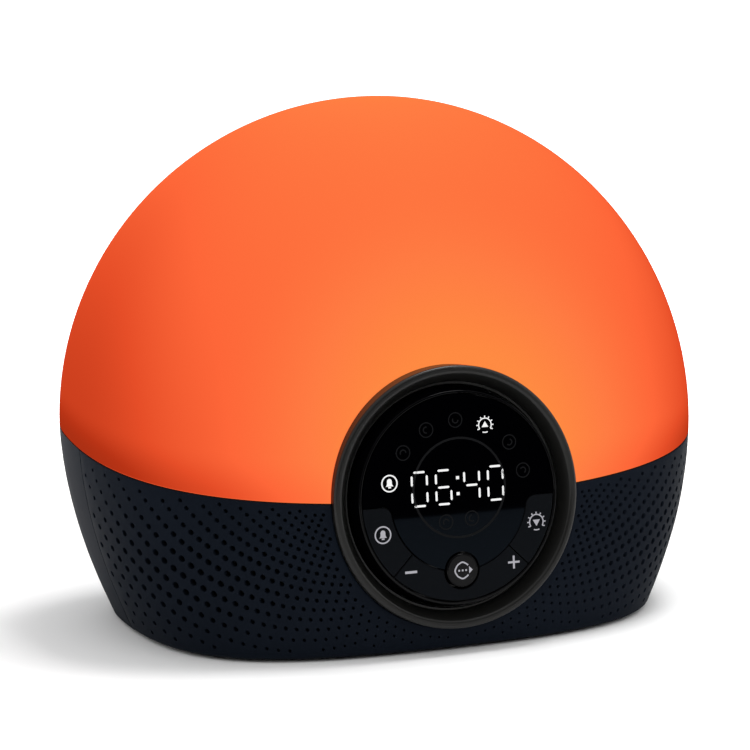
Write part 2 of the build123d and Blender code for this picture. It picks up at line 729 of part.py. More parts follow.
# ================================================================ display ring and body
def make_display_ring():
    """Bezel with a rounded lip, a conical inner slope, a gutter and a barrel behind."""
    bore = BODY_FLANK_RADIUS + BODY_GAP
    with BuildPart() as display_ring:
        with BuildSketch(TURNING) as profile:
            with BuildLine():
                Polyline(
                    (RING_RADIUS, -RING_SHOULDER), (RING_RADIUS, -RING_CREST),
                    (RING_LIP_RADIUS, -RING_CREST), (RING_SLOPE_RADIUS, -RING_SLOPE_DEPTH),
                    (RING_SLOPE_RADIUS, -GUTTER_DEPTH), (bore, -GUTTER_DEPTH), (bore, -BARREL_DEPTH),
                    (BARREL_RADIUS, -BARREL_DEPTH), (BARREL_RADIUS, -RING_SHOULDER),
                    (RING_RADIUS, -RING_SHOULDER),
                )
            make_face()
            fillet(profile.vertices().group_by(Axis.Y)[-1], RING_EDGE_RADIUS)
        revolve(axis=DISPLAY_AXIS)
        with BuildSketch(face_at(BARREL_DEPTH)):
            with Locations(*around(COVER_SCREW_RADIUS, COVER_SCREW_ANGLES)):
                Circle(SMALL_SCREW_RADIUS + SCREW_CLEARANCE)
        extrude(amount=SMALL_SCREW_BITE + 1, mode=Mode.SUBTRACT)
        with BuildSketch(face_at(RING_SHOULDER)):
            with Locations(*around(RING_SCREW_RADIUS, RING_SCREW_ANGLES)):
                Circle(SMALL_SCREW_RADIUS + SCREW_CLEARANCE)
        extrude(amount=SMALL_SCREW_BITE + 1, mode=Mode.SUBTRACT)
    return finish(display_ring, "display_ring")


def make_ring_screws():
    """Screws through the saddle's lip into the ring."""
    seat = face_at(RING_SHOULDER + SADDLE_LIP)
    back = Plane(origin=seat.origin, x_dir=(1, 0, 0), z_dir=-DISPLAY_NORMAL)
    places = [(x, -y) for x, y in around(RING_SCREW_RADIUS, RING_SCREW_ANGLES)]
    screws = small_screws(back, places, SADDLE_LIP + SMALL_SCREW_BITE)
    return finish(screws, "ring_screws")


def make_cover_screws():
    """Screws through the display's cover into the ring's barrel."""
    seat = face_at(BARREL_DEPTH + COVER_WALL)
    back = Plane(origin=seat.origin, x_dir=(1, 0, 0), z_dir=-DISPLAY_NORMAL)
    places = [(x, -y) for x, y in around(COVER_SCREW_RADIUS, COVER_SCREW_ANGLES)]
    screws = small_screws(back, places, COVER_WALL + SMALL_SCREW_BITE)
    return finish(screws, "cover_screws")


STEM_END = BOARD_DEPTH - SWITCH_HEIGHT - PLUNGER_HEIGHT - SWITCH_GAP
KEY_BACK = KEY_SINK + KEY_THICKNESS
STEM_CIRCLE = KEY_OUTER_RADIUS - STEM_INSET
SIDE_STEMS = around(STEM_CIRCLE, (-SIDE_STEM_ANGLE, 180 + SIDE_STEM_ANGLE))
ROCKER_STEMS = around(STEM_CIRCLE, (-ROCKER_STEM_ANGLE, 180 + ROCKER_STEM_ANGLE))
MOVING_STEMS = SIDE_STEMS + [(0, MENU_Y)]
ICONS = (ALARM_ICON, SUNRISE_ICON)
KEEL_PLANE = Plane(origin=display_point(0, ROCKER_KEEL_Y, ROCKER_PIN_DEPTH), x_dir=(1, 0, 0), z_dir=DISPLAY_UP)


def make_display_body():
    """Glossy cup whose rim frames the lens and keys; its web guides the key stems."""
    rim = KEY_OUTER_RADIUS + KEY_GAP
    behind = WEB_DEPTH + WEB_WALL
    with BuildPart() as display_body:
        with BuildSketch(TURNING) as profile:
            with BuildLine():
                Polyline(
                    (rim, -WEB_DEPTH), (rim, 0), (rim + BODY_RIM_WIDTH, 0), (BODY_FLANK_RADIUS, -FLANK_DEPTH),
                    (BODY_FLANK_RADIUS, -BARREL_DEPTH), (KEY_OUTER_RADIUS, -BARREL_DEPTH),
                    (KEY_OUTER_RADIUS, -BOARD_DEPTH), (BOARD_STEP_RADIUS, -BOARD_DEPTH),
                    (BOARD_STEP_RADIUS, -behind), (0, -behind), (0, -WEB_DEPTH), (rim, -WEB_DEPTH),
                )
            make_face()
            fillet(profile.vertices().group_by(Axis.Y)[-1], BODY_RIM_EDGE)
        revolve(axis=DISPLAY_AXIS)
        with BuildSketch(face_at(behind)):
            with Locations((0, ROCKER_KEEL_Y)):
                Rectangle(*ROCKER_BEARING)
        extrude(amount=-(ROCKER_BEARING_DEPTH - behind))
        with BuildSketch(face_at(ROCKER_BEARING_DEPTH)):
            with Locations((0, ROCKER_KEEL_Y)):
                Rectangle(ROCKER_KEEL[0] + 2 * KEY_GAP, ROCKER_KEEL[1] + 2 * KEY_GAP)
            with Locations(*MOVING_STEMS):
                Circle(STEM_RADIUS + STEM_CLEARANCE)
            with Locations(*ROCKER_STEMS):
                Circle(STEM_RADIUS + ROCKER_STEM_ROOM)
            with Locations((DIGITS_X, DIGITS_Y)):
                Rectangle(DIGITS_WIDTH + 2 * FIT_GAP, DIGITS_HEIGHT + 2 * FIT_GAP)
            with Locations(*ICONS):
                Circle(ICON_RADIUS + FIT_GAP)
        extrude(amount=ROCKER_BEARING_DEPTH - WEB_DEPTH + FIT_GAP, mode=Mode.SUBTRACT)
        with BuildSketch(KEEL_PLANE):
            Circle(ROCKER_PIN_RADIUS + STEM_CLEARANCE)
        extrude(amount=ROCKER_BEARING[1] / 2, both=True, mode=Mode.SUBTRACT)
    return finish(display_body, "display_body")


def make_display_lens():
    """Glossy lens: the upper half disc and a smaller disc below it, cut round the menu key."""
    window = KEY_INNER_RADIUS - KEY_GAP
    edge = KEY_TOP + KEY_GAP
    with BuildPart() as display_lens:
        with BuildSketch(FACE) as outline:
            Circle(KEY_OUTER_RADIUS)
            with Locations((0, edge)):
                Rectangle(3 * KEY_OUTER_RADIUS, 3 * KEY_OUTER_RADIUS, align=(Align.CENTER, Align.MAX),
                          mode=Mode.SUBTRACT)
            Circle(window)
            corners = outline.vertices().filter_by_position(Axis.Y, edge - 0.1, edge + 0.1)
            inner = [v for v in corners if abs(v.X) < KEY_OUTER_RADIUS - KEY_CORNER]
            fillet(inner, KEY_CORNER + KEY_GAP)
            with Locations((0, MENU_Y)):
                Circle(MENU_RADIUS + MENU_GAP, mode=Mode.SUBTRACT)
        extrude(amount=-WEB_DEPTH)
    return finish(display_lens, "display_lens")


# ================================================================ keys
def divider_edge(angle, side, reach):
    """A point on a divider's edge, half a gap to one side of its line, at a reach from the centre."""
    along = Vector(cos(radians(angle)), sin(radians(angle)))
    return along * reach + Vector(-along.Y, along.X) * (side * KEY_GAP / 2)


def key_ring_sector(corners):
    """Sketch of the part of the ring of keys that lies within a polygon."""
    with BuildSketch() as sector:
        with BuildLine():
            Polyline(*corners, close=True)
        make_face()
        Circle(KEY_OUTER_RADIUS, mode=Mode.INTERSECT)
        Circle(KEY_INNER_RADIUS, mode=Mode.SUBTRACT)
    return sector.sketch


def make_side_key(way, name):
    """Key beside the display, with a rounded upper corner and a stem to its switch."""
    near = KEY_INNER_RADIUS / 2
    far = KEY_OUTER_RADIUS * 2
    lower = [divider_edge(KEY_DIVIDERS[0], -1, reach) for reach in (near, far)]
    corners = [(-way * p.X, p.Y) for p in lower]
    corners += [(way * far, lower[1].Y), (way * far, KEY_TOP), (way * near, KEY_TOP)]
    with BuildPart() as key:
        with BuildSketch(face_at(KEY_SINK)) as outline:
            add(key_ring_sector(corners))
            upper = outline.vertices().group_by(Axis.Y)[-1]
            fillet(upper.sort_by(lambda v: abs(v.X))[0], KEY_CORNER)
        extrude(amount=-KEY_THICKNESS)
        fillet(key.faces().sort_by(DISPLAY_AXIS)[-1].edges(), KEY_EDGE_RADIUS)
        with BuildSketch(face_at(KEY_BACK)):
            with Locations((way * SIDE_STEMS[0][0], SIDE_STEMS[0][1])):
                Circle(STEM_RADIUS)
        extrude(amount=KEY_BACK - STEM_END)
    return finish(key, name)


def make_rocker_key():
    """Long key below the display that rocks on a pin across its keel; a hole lets the menu key through."""
    near = KEY_INNER_RADIUS / 2
    far = KEY_OUTER_RADIUS * 2
    edges = ((KEY_DIVIDERS[0], 1, near), (KEY_DIVIDERS[0], 1, far), (KEY_DIVIDERS[1], -1, far),
             (KEY_DIVIDERS[1], -1, near))
    corners = [(p.X, p.Y) for p in (divider_edge(*edge) for edge in edges)]
    with BuildPart() as rocker_key:
        with BuildSketch(face_at(KEY_SINK)) as outline:
            add(key_ring_sector(corners))
            with Locations((0, MENU_Y)):
                Circle(MENU_RADIUS + MENU_GAP, mode=Mode.SUBTRACT)
            fillet([v for v in outline.vertices() if abs(v.X) < MENU_RADIUS + MENU_GAP], 2 * KEY_EDGE_RADIUS)
        extrude(amount=-KEY_THICKNESS)
        fillet(rocker_key.faces().sort_by(DISPLAY_AXIS)[-1].edges(), KEY_EDGE_RADIUS)
        with BuildSketch(face_at(KEY_BACK)):
            with Locations(*ROCKER_STEMS):
                Circle(STEM_RADIUS)
        extrude(amount=KEY_BACK - STEM_END)
        with BuildSketch(face_at(KEY_BACK)):
            with Locations((0, ROCKER_KEEL_Y)):
                Rectangle(*ROCKER_KEEL)
        extrude(amount=KEY_BACK - ROCKER_PIN_DEPTH)
        with BuildSketch(KEEL_PLANE):
            Circle(ROCKER_PIN_RADIUS)
        extrude(amount=ROCKER_BEARING[1] / 2 - KEY_GAP, both=True)
    return finish(rocker_key, "rocker_key")


def make_menu_button():
    """Round key that stands a little proud, with its stem."""
    with BuildPart() as menu_button:
        with BuildSketch(face_at(KEY_BACK)):
            with Locations((0, MENU_Y)):
                Circle(MENU_RADIUS)
        extrude(amount=KEY_BACK + MENU_PROUD - KEY_SINK)
        fillet(menu_button.faces().sort_by(DISPLAY_AXIS)[-1].edges(), 2 * KEY_EDGE_RADIUS)
        with BuildSketch(face_at(KEY_BACK)):
            with Locations((0, MENU_Y)):
                Circle(STEM_RADIUS)
        extrude(amount=KEY_BACK - STEM_END)
    return finish(menu_button, "menu_button")


# ================================================================ inside the display
def make_display_board():
    """Round circuit board on the body's step."""
    with BuildPart() as display_board:
        with BuildSketch(face_at(BOARD_DEPTH)):
            Circle(KEY_OUTER_RADIUS - FIT_GAP)
        extrude(amount=-BOARD_THICKNESS)
    return finish(display_board, "display_board")


def make_key_switches():
    """Tact switches with round plungers under every stem, one solid each."""
    places = MOVING_STEMS + ROCKER_STEMS
    with BuildPart() as key_switches:
        with BuildSketch(face_at(BOARD_DEPTH)):
            with Locations(*places):
                Rectangle(SWITCH_WIDTH, SWITCH_WIDTH)
        extrude(amount=SWITCH_HEIGHT)
        with BuildSketch(face_at(BOARD_DEPTH)):
            with Locations(*places):
                Circle(PLUNGER_RADIUS)
        extrude(amount=SWITCH_HEIGHT + PLUNGER_HEIGHT)
    return finish(key_switches, "key_switches")


def make_digit_display():
    """Block of seven-segment digits that reaches up into the web's window."""
    with BuildPart() as digit_display:
        with BuildSketch(face_at(BOARD_DEPTH)):
            with Locations((DIGITS_X, DIGITS_Y)):
                Rectangle(DIGITS_WIDTH, DIGITS_HEIGHT)
        extrude(amount=BOARD_DEPTH - WEB_DEPTH - FIT_GAP)
    return finish(digit_display, "digit_display")


def make_icon_leds():
    """Light towers under the lit icons, one solid each."""
    with BuildPart() as icon_leds:
        with BuildSketch(face_at(BOARD_DEPTH)):
            with Locations(*ICONS):
                Circle(ICON_RADIUS)
        extrude(amount=BOARD_DEPTH - WEB_DEPTH - FIT_GAP)
    return finish(icon_leds, "icon_leds")


def make_display_cover():
    """Rear cover whose rim presses the board onto its step, with a slot for the ribbon."""
    with BuildPart() as display_cover:
        with BuildSketch(face_at(BARREL_DEPTH)):
            Circle(BARREL_RADIUS)
            with Locations(*around(COVER_SCREW_RADIUS, COVER_SCREW_ANGLES)):
                Circle(SMALL_HOLE_RADIUS, mode=Mode.SUBTRACT)
        extrude(amount=-COVER_WALL)
        with BuildSketch(face_at(BOARD_DEPTH + BOARD_THICKNESS)):
            Circle(KEY_OUTER_RADIUS - FIT_GAP)
            Circle(KEY_OUTER_RADIUS - FIT_GAP - COVER_RIM_WIDTH, mode=Mode.SUBTRACT)
        extrude(amount=-(BARREL_DEPTH - BOARD_DEPTH - BOARD_THICKNESS))
        with BuildSketch(face_at(BARREL_DEPTH)):
            with Locations((0, RIBBON_Y)):
                Rectangle(*RIBBON_SLOT)
        extrude(amount=-COVER_WALL, mode=Mode.SUBTRACT)
    return finish(display_cover, "display_cover")


# ================================================================ speakers
def make_speaker(way, side):
    """Frame, cone and magnet of one speaker, behind its collar."""
    flange = SPEAKER_DEPTH + SPEAKER_FLANGE
    back = flange + BASKET_DEPTH
    axis = Axis(speaker_plane(way, 0).origin, speaker_plane(way, 0).z_dir)
    turning = Plane(origin=speaker_plane(way, 0).origin, x_dir=speaker_plane(way, 0).x_dir, z_dir=(0, 0, -1))
    rim = SPEAKER_CONE_RADIUS
    edge = rim - CLOTH_GAP
    wall = SPEAKER_FLANGE
    skin = CLOTH_THICKNESS
    with BuildPart() as frame:
        with BuildSketch(turning):
            with BuildLine():
                Polyline(
                    (rim, -SPEAKER_DEPTH), (SPEAKER_RADIUS, -SPEAKER_DEPTH), (SPEAKER_RADIUS, -flange),
                    (rim + wall, -flange), (BASKET_NECK_RADIUS + wall, -back), (MAGNET_RADIUS / 2, -back),
                    (MAGNET_RADIUS / 2, wall - back), (BASKET_NECK_RADIUS, wall - back), (rim, -flange),
                    (rim, -SPEAKER_DEPTH),
                )
            make_face()
        revolve(axis=axis)
    finish(frame, f"{side}_speaker_frame")
    with BuildPart() as cone:
        with BuildSketch(turning):
            with BuildLine():
                ThreePointArc((edge, skin - flange), (rim - wall, -SPEAKER_DEPTH), (rim - 2 * wall, skin - flange))
                Polyline((rim - 2 * wall, skin - flange), (rim / 3, 3 * wall - back), (0, 4 * wall - back),
                         (0, 3 * wall - back), (rim / 3, 2 * wall - back), (rim - 2 * wall, -flange),
                         (edge, -flange), (edge, skin - flange))
            make_face()
        revolve(axis=axis)
    finish(cone, f"{side}_speaker_cone")
    with BuildPart() as magnet:
        with BuildSketch(speaker_plane(way, back)):
            Circle(MAGNET_RADIUS)
        extrude(amount=-MAGNET_THICKNESS)
        with BuildSketch(speaker_plane(way, back)):
            Circle(MAGNET_RADIUS / 2 - FIT_GAP)
        extrude(amount=wall)
        fillet(magnet.faces().sort_by(axis)[0].edges(), wall / 2)
    finish(magnet, f"{side}_speaker_magnet")


def make_grille_cloth():
    """Acoustic cloth that lines the shell inside each collar, one solid each."""
    with BuildPart() as grille_cloth:
        for way in (1, -1):
            with BuildSketch(speaker_plane(way, SPEAKER_DEPTH)):
                Circle(SPEAKER_RADIUS - COLLAR_WALL - FIT_GAP)
            extrude(amount=SPEAKER_DEPTH)
        add(body_form(HOUSING_WALL + CLOTH_GAP, BASE_Z), mode=Mode.INTERSECT)
        add(body_form(HOUSING_WALL + CLOTH_GAP + CLOTH_THICKNESS, BASE_Z), mode=Mode.SUBTRACT)
    return finish(grille_cloth, "grille_cloth")


# ================================================================ lamp
LAMP_HOLE_RADIUS = LEAD_RADIUS + FIT_GAP
HEAT_SINK_Z = TRAY_Z + TRAY_WALL
LED_BOARD_Z = HEAT_SINK_Z + HEAT_SINK_WALL


def led_screw_places():
    """Places of the lamp board's screws in plan."""
    return [(x, HEAT_SINK_Y + y) for x, y in around(LED_SCREW_RADIUS, LED_SCREW_ANGLES)]


def make_light_tray():
    """White reflector plate with a low rim that closes the dome and carries the lamp."""
    inset = HOUSING_WALL + LIP_GAP + LIP_WALL + TRAY_GAP
    rim_top = TRAY_Z + TRAY_WALL + TRAY_RIM
    with BuildPart() as light_tray:
        for z in (TRAY_Z, rim_top):
            add(body_section(z, inset))
        loft()
        for z in (TRAY_Z + TRAY_WALL, rim_top):
            add(body_section(z, inset + TRAY_WALL))
        loft(mode=Mode.SUBTRACT)
        add(display_bore(RING_RADIUS + SADDLE_WALL + 2 * FIT_GAP, RING_CUT_DEPTH), mode=Mode.SUBTRACT)
        with BuildSketch(Plane.XY.offset(TRAY_Z)):
            with Locations(*led_screw_places()):
                Circle(POST_RADIUS)
        extrude(amount=-TRAY_BOSS_HEIGHT)
        with BuildSketch(Plane.XY.offset(TRAY_Z + TRAY_WALL)):
            with Locations(*led_screw_places()):
                Circle(SMALL_SCREW_RADIUS + SCREW_CLEARANCE)
            with Locations(*to_both_sides(TRAY_POSTS)):
                Circle(SMALL_HOLE_RADIUS)
            with Locations((LAMP_LEAD_X, LAMP_LEAD_Y)):
                Circle(LAMP_HOLE_RADIUS)
        extrude(amount=-(TRAY_WALL + TRAY_BOSS_HEIGHT), mode=Mode.SUBTRACT)
    return finish(light_tray, "light_tray")


def make_heat_sink():
    """Aluminium plate between tray and lamp board."""
    with BuildPart() as heat_sink:
        with BuildSketch(Plane.XY.offset(HEAT_SINK_Z)):
            with Locations((0, HEAT_SINK_Y)):
                Circle(HEAT_SINK_RADIUS)
            with Locations(*led_screw_places()):
                Circle(SMALL_HOLE_RADIUS, mode=Mode.SUBTRACT)
            with Locations((LAMP_LEAD_X, LAMP_LEAD_Y)):
                Circle(LAMP_HOLE_RADIUS, mode=Mode.SUBTRACT)
        extrude(amount=HEAT_SINK_WALL)
    return finish(heat_sink, "heat_sink")


def make_led_board():
    """Round lamp board on the heat sink."""
    with BuildPart() as led_board:
        with BuildSketch(Plane.XY.offset(LED_BOARD_Z)):
            with Locations((0, HEAT_SINK_Y)):
                Circle(LED_BOARD_RADIUS)
            with Locations(*led_screw_places()):
                Circle(SMALL_HOLE_RADIUS, mode=Mode.SUBTRACT)
        extrude(amount=LED_BOARD_WALL)
    return finish(led_board, "led_board")


def make_dome_leds():
    """Rings of square LEDs on the lamp board, one solid each."""
    with BuildPart() as dome_leds:
        for radius, count in LED_RINGS:
            with BuildSketch(Plane.XY.offset(LED_BOARD_Z + LED_BOARD_WALL)):
                with Locations((0, HEAT_SINK_Y)):
                    with PolarLocations(radius, count):
                        Rectangle(LED_WIDTH, LED_WIDTH)
            extrude(amount=LED_HEIGHT)
    return finish(dome_leds, "dome_leds")


# ================================================================ main board
def board_screw_places():
    """Places of the main board's screws in plan."""
    across = MAIN_BOARD_WIDTH / 2 - BOARD_SCREW_INSET
    along = MAIN_BOARD_DEPTH / 2 - BOARD_SCREW_INSET
    return [(i * across, MAIN_BOARD_Y + j * along) for i in (-1, 1) for j in (-1, 1)]


def make_main_board():
    """Main circuit board on four posts."""
    with BuildPart() as main_board:
        with BuildSketch(Plane.XY.offset(MAIN_BOARD_Z)):
            with Locations((0, MAIN_BOARD_Y)):
                RectangleRounded(MAIN_BOARD_WIDTH, MAIN_BOARD_DEPTH, BOARD_SCREW_INSET / 2)
            with Locations(*board_screw_places()):
                Circle(SMALL_HOLE_RADIUS, mode=Mode.SUBTRACT)
        extrude(amount=MAIN_BOARD_WALL)
    return finish(main_board, "main_board")


BOARD_TOP = MAIN_BOARD_Z + MAIN_BOARD_WALL


def make_board_components():
    """Chips, capacitors, coils and the leads' connectors on the main board, one solid each."""
    with BuildPart() as board_components:
        for (x, y), (width, depth), height in CHIPS:
            with BuildSketch(Plane.XY.offset(BOARD_TOP)):
                with Locations((x, y)):
                    Rectangle(width, depth)
            extrude(amount=height)
        for (x, y), radius, height in CANS:
            with BuildSketch(Plane.XY.offset(BOARD_TOP)):
                with Locations((x, y)):
                    Circle(radius)
            extrude(amount=height)
    return finish(board_components, "board_components")


def make_cell_and_holder():
    """Coin cell lying in its round holder."""
    with BuildPart() as cell_holder:
        with BuildSketch(Plane.XY.offset(BOARD_TOP)):
            with Locations(CELL_PLACE):
                Circle(CELL_RADIUS + FIT_GAP + CELL_WALL)
        extrude(amount=CELL_WALL + CELL_HEIGHT * 0.7)
        with BuildSketch(Plane.XY.offset(BOARD_TOP + CELL_WALL)):
            with Locations(CELL_PLACE):
                Circle(CELL_RADIUS + FIT_GAP)
        extrude(amount=CELL_HEIGHT, mode=Mode.SUBTRACT)
    finish(cell_holder, "cell_holder")
    with BuildPart() as coin_cell:
        with BuildSketch(Plane.XY.offset(BOARD_TOP + CELL_WALL)):
            with Locations(CELL_PLACE):
                Circle(CELL_RADIUS)
        extrude(amount=CELL_HEIGHT)
        fillet(coin_cell.edges().group_by(Axis.Z)[-1], CELL_HEIGHT / 6)
    finish(coin_cell, "coin_cell")


def make_dc_socket():
    """Barrel inlet on the main board, its round nose through the recess floor."""
    centre_z = BOARD_TOP + JACK_HEIGHT / 2
    with BuildPart() as dc_socket:
        with BuildSketch(Plane.XZ.offset(-(RECESS_Y - RECESS_WALL))):
            with Locations((RECESS_X, centre_z)):
                Rectangle(JACK_WIDTH, JACK_HEIGHT)
        extrude(amount=JACK_LENGTH)
        with BuildSketch(Plane.XZ.offset(-RECESS_Y)):
            with Locations((RECESS_X, centre_z)):
                Circle(JACK_NOSE_RADIUS)
        extrude(amount=RECESS_WALL)
        with BuildSketch(Plane.XZ.offset(-RECESS_Y)):
            with Locations((RECESS_X, centre_z)):
                Circle(JACK_BORE_RADIUS)
                Circle(JACK_PIN_RADIUS, mode=Mode.SUBTRACT)
        extrude(amount=JACK_BORE_DEPTH, mode=Mode.SUBTRACT)
    return finish(dc_socket, "dc_socket")


# ================================================================ held leads
def corner_radii(points):
    """Radius for each corner of a lead's route: as large as its two runs allow."""
    radii = []
    for before, corner, after in zip(points, points[1:], points[2:]):
        run_in = Vector(*corner) - Vector(*before)
        run_out = Vector(*after) - Vector(*corner)
        turn = radians(run_in.get_angle(run_out))
        radii.append(0.45 * min(run_in.length, run_out.length) / tan(turn / 2))
    return radii


def lead(points):
    """Round lead along a route of straight runs joined by tangent arcs."""
    with BuildPart() as tube:
        with BuildLine() as route:
            FilletPolyline(*points, radius=corner_radii(points))
        with BuildSketch(Plane(origin=route.line @ 0, z_dir=route.line % 0)):
            Circle(LEAD_RADIUS)
        sweep()
    return tube


def make_speaker_leads():
    """One lead from each speaker's magnet to its connector on the main board."""
    back = SPEAKER_DEPTH + SPEAKER_FLANGE + BASKET_DEPTH + MAGNET_THICKNESS
    with BuildPart() as speaker_leads:
        for way in (1, -1):
            start = speaker_plane(way, back).origin
            off = speaker_plane(way, back + LEAD_RUN).origin
            x, y = way * SPEAKER_PLUG[0], SPEAKER_PLUG[1]
            route = [
                (start.X, start.Y, start.Z), (off.X, off.Y, off.Z),
                (x, y, BOARD_TOP + PLUG_HEIGHT + LEAD_RUN), (x, y, BOARD_TOP + PLUG_HEIGHT),
            ]
            add(lead(route).part)
    return finish(speaker_leads, "speaker_leads")


def make_lamp_lead():
    """Lead from under the lamp board, down through heat sink and tray, to the main board."""
    x, y = LAMP_PLUG
    plug_top = BOARD_TOP + PLUG_HEIGHT
    route = [
        (LAMP_LEAD_X, LAMP_LEAD_Y, LED_BOARD_Z), (LAMP_LEAD_X, LAMP_LEAD_Y, (TRAY_Z + plug_top) / 2),
        (x, y, plug_top + LEAD_RUN), (x, y, plug_top),
    ]
    return finish(lead(route), "lamp_lead")


def make_display_ribbon():
    """Flat cable from the display board, through the cover's slot, to the main board."""
    start = display_point(0, RIBBON_Y, BOARD_DEPTH + BOARD_THICKNESS)
    clear = display_point(0, RIBBON_Y, 2 * BARREL_DEPTH)
    x, y = RIBBON_PLUG
    plug_top = BOARD_TOP + PLUG_HEIGHT
    with BuildPart() as display_ribbon:
        with BuildLine() as route:
            FilletPolyline(start, clear, (x, y, plug_top + LEAD_RUN), (x, y, plug_top), radius=RIBBON_RADIUS)
        with BuildSketch(Plane(origin=route.line @ 0, x_dir=(1, 0, 0), z_dir=route.line % 0)):
            Rectangle(RIBBON_WIDTH, RIBBON_THICKNESS)
        sweep()
    return finish(display_ribbon, "display_ribbon")


def make_board_and_lamp_screws():
    """Screws of the tray, the lamp board and the main board."""
    tray_seat = Plane.XY.offset(TRAY_Z + TRAY_WALL)
    tray = small_screws(tray_seat, to_both_sides(TRAY_POSTS), TRAY_WALL + SMALL_SCREW_BITE)
    finish(tray, "tray_screws")
    lamp_stack = LED_BOARD_WALL + HEAT_SINK_WALL + TRAY_WALL
    lamp_seat = Plane.XY.offset(LED_BOARD_Z + LED_BOARD_WALL)
    finish(small_screws(lamp_seat, led_screw_places(), lamp_stack + SMALL_SCREW_BITE - 1), "led_screws")
    board_seat = Plane.XY.offset(BOARD_TOP)
    board = small_screws(board_seat, board_screw_places(), MAIN_BOARD_WALL + SMALL_SCREW_BITE)
    finish(board, "board_screws")


make_light_dome()
make_front_housing()
make_rear_housing()
make_housing_screws()
make_rubber_feet()
make_display_ring()
make_ring_screws()
make_cover_screws()
make_display_body()
make_display_lens()
make_side_key(-1, "alarm_button")
make_side_key(1, "sunset_button")
make_rocker_key()
make_menu_button()
make_display_board()
make_key_switches()
make_digit_display()
make_icon_leds()
make_display_cover()
make_speaker(-1, "left")
make_speaker(1, "right")
make_grille_cloth()
make_light_tray()
make_heat_sink()
make_led_board()
make_dome_leds()
make_main_board()
make_board_components()
make_cell_and_holder()
make_dc_socket()
make_speaker_leads()
make_lamp_lead()
make_display_ribbon()
make_board_and_lamp_screws()
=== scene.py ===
"""Surfaces, finishes, stage and camera of a sunrise alarm clock, built around its CAD parts.

Every size is in metres, in the frame of the CAD parts: X to the right as seen from the front, Y towards the back,
Z up.
"""

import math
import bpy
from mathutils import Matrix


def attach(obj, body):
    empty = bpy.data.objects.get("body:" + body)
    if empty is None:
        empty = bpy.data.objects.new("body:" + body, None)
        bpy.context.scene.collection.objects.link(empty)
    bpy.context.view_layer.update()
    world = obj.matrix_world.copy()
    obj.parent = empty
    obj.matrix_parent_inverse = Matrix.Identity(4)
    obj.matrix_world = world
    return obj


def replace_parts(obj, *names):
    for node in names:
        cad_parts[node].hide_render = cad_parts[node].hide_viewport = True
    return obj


bl_info = {
    "name": "Sunrise alarm clock",
    "version": (1, 0, 0),
    "blender": (4, 5, 0),
    "location": "View3D > Sidebar > Clock",
    "description": "Builds the glowing dome, perforated front, display graphics and finishes of a wake-up light",
    "category": "Object",
}

import bpy
import numpy as np
from mathutils import Matrix, Vector
from mathutils.geometry import delaunay_2d_cdt

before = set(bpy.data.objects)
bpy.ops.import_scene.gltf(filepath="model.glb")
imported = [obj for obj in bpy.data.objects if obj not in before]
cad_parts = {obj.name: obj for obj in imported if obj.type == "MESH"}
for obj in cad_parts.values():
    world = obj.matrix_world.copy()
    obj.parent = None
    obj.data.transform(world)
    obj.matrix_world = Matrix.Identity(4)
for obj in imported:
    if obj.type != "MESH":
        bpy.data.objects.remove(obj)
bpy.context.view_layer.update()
MM = 0.001

# Grille: lattice numbers, closest holes, and least distance from a hole's rim to each border of the field
COLUMNS, ROWS = np.arange(-20, 40), np.arange(-8, 30)
LEAST_PITCH = 1.6 * MM
CLEAR_OF_RING, CLEAR_OF_SEAM, CLEAR_OF_FOOT = 1.5 * MM, 1.3 * MM, 2.4 * MM
CLEAR_OF_PARTING, CLEAR_OF_MIDDLE = 1.6 * MM, 1.2 * MM
FOOT_COLUMNS, SIDE_ROWS, SEAM_COLUMNS, RING_COLUMNS = 190, 44, 64, 170  # points along each part of the outline

# Dome's painted light: X and Z of its brightest spot, how far that pool of light and the painted shade along the seam
# reach, and its tones
GLOW_SPOT = (0.005, 0.059)
GLOW_REACH, SEAM_SHADE_REACH = 0.084, 0.014
TONE, BLOOM_TONE, TOP_LIGHT_TONE, SIDE_SHADE_TONE, SEAM_SHADE_TONE = 0.59, 0.58, 0.255, -0.33, -0.118

MIX_FROM, MIX_TO, MIX_RESULT = 6, 7, 2  # a Mix node's colour sockets, by number because its names repeat


# ------------------------------------------------------------------ sizes and colours a user may change
def length(label, note, millimetres):
    """A size, written in millimetres and kept in metres."""
    return bpy.props.FloatProperty(
        name=label, description=note, default=millimetres * MM, unit="LENGTH", precision=5)


def number(label, note, value):
    return bpy.props.FloatProperty(name=label, description=note, default=value, precision=4)


def angle(label, note, degrees):
    return bpy.props.FloatProperty(
        name=label, description=note, default=math.radians(degrees), unit="ROTATION")


def linear(code):
    """Scene-linear red, green and blue of a colour written as six hexadecimal digits."""
    shares = [int(code[i:i + 2], 16) / 255 for i in (0, 2, 4)]
    return tuple(c / 12.92 if c <= 0.04045 else ((c + 0.055) / 1.055) ** 2.4 for c in shares)


def colour(label, note, code):
    return bpy.props.FloatVectorProperty(
        name=label, description=note, default=linear(code), subtype="COLOR", min=0, max=1)


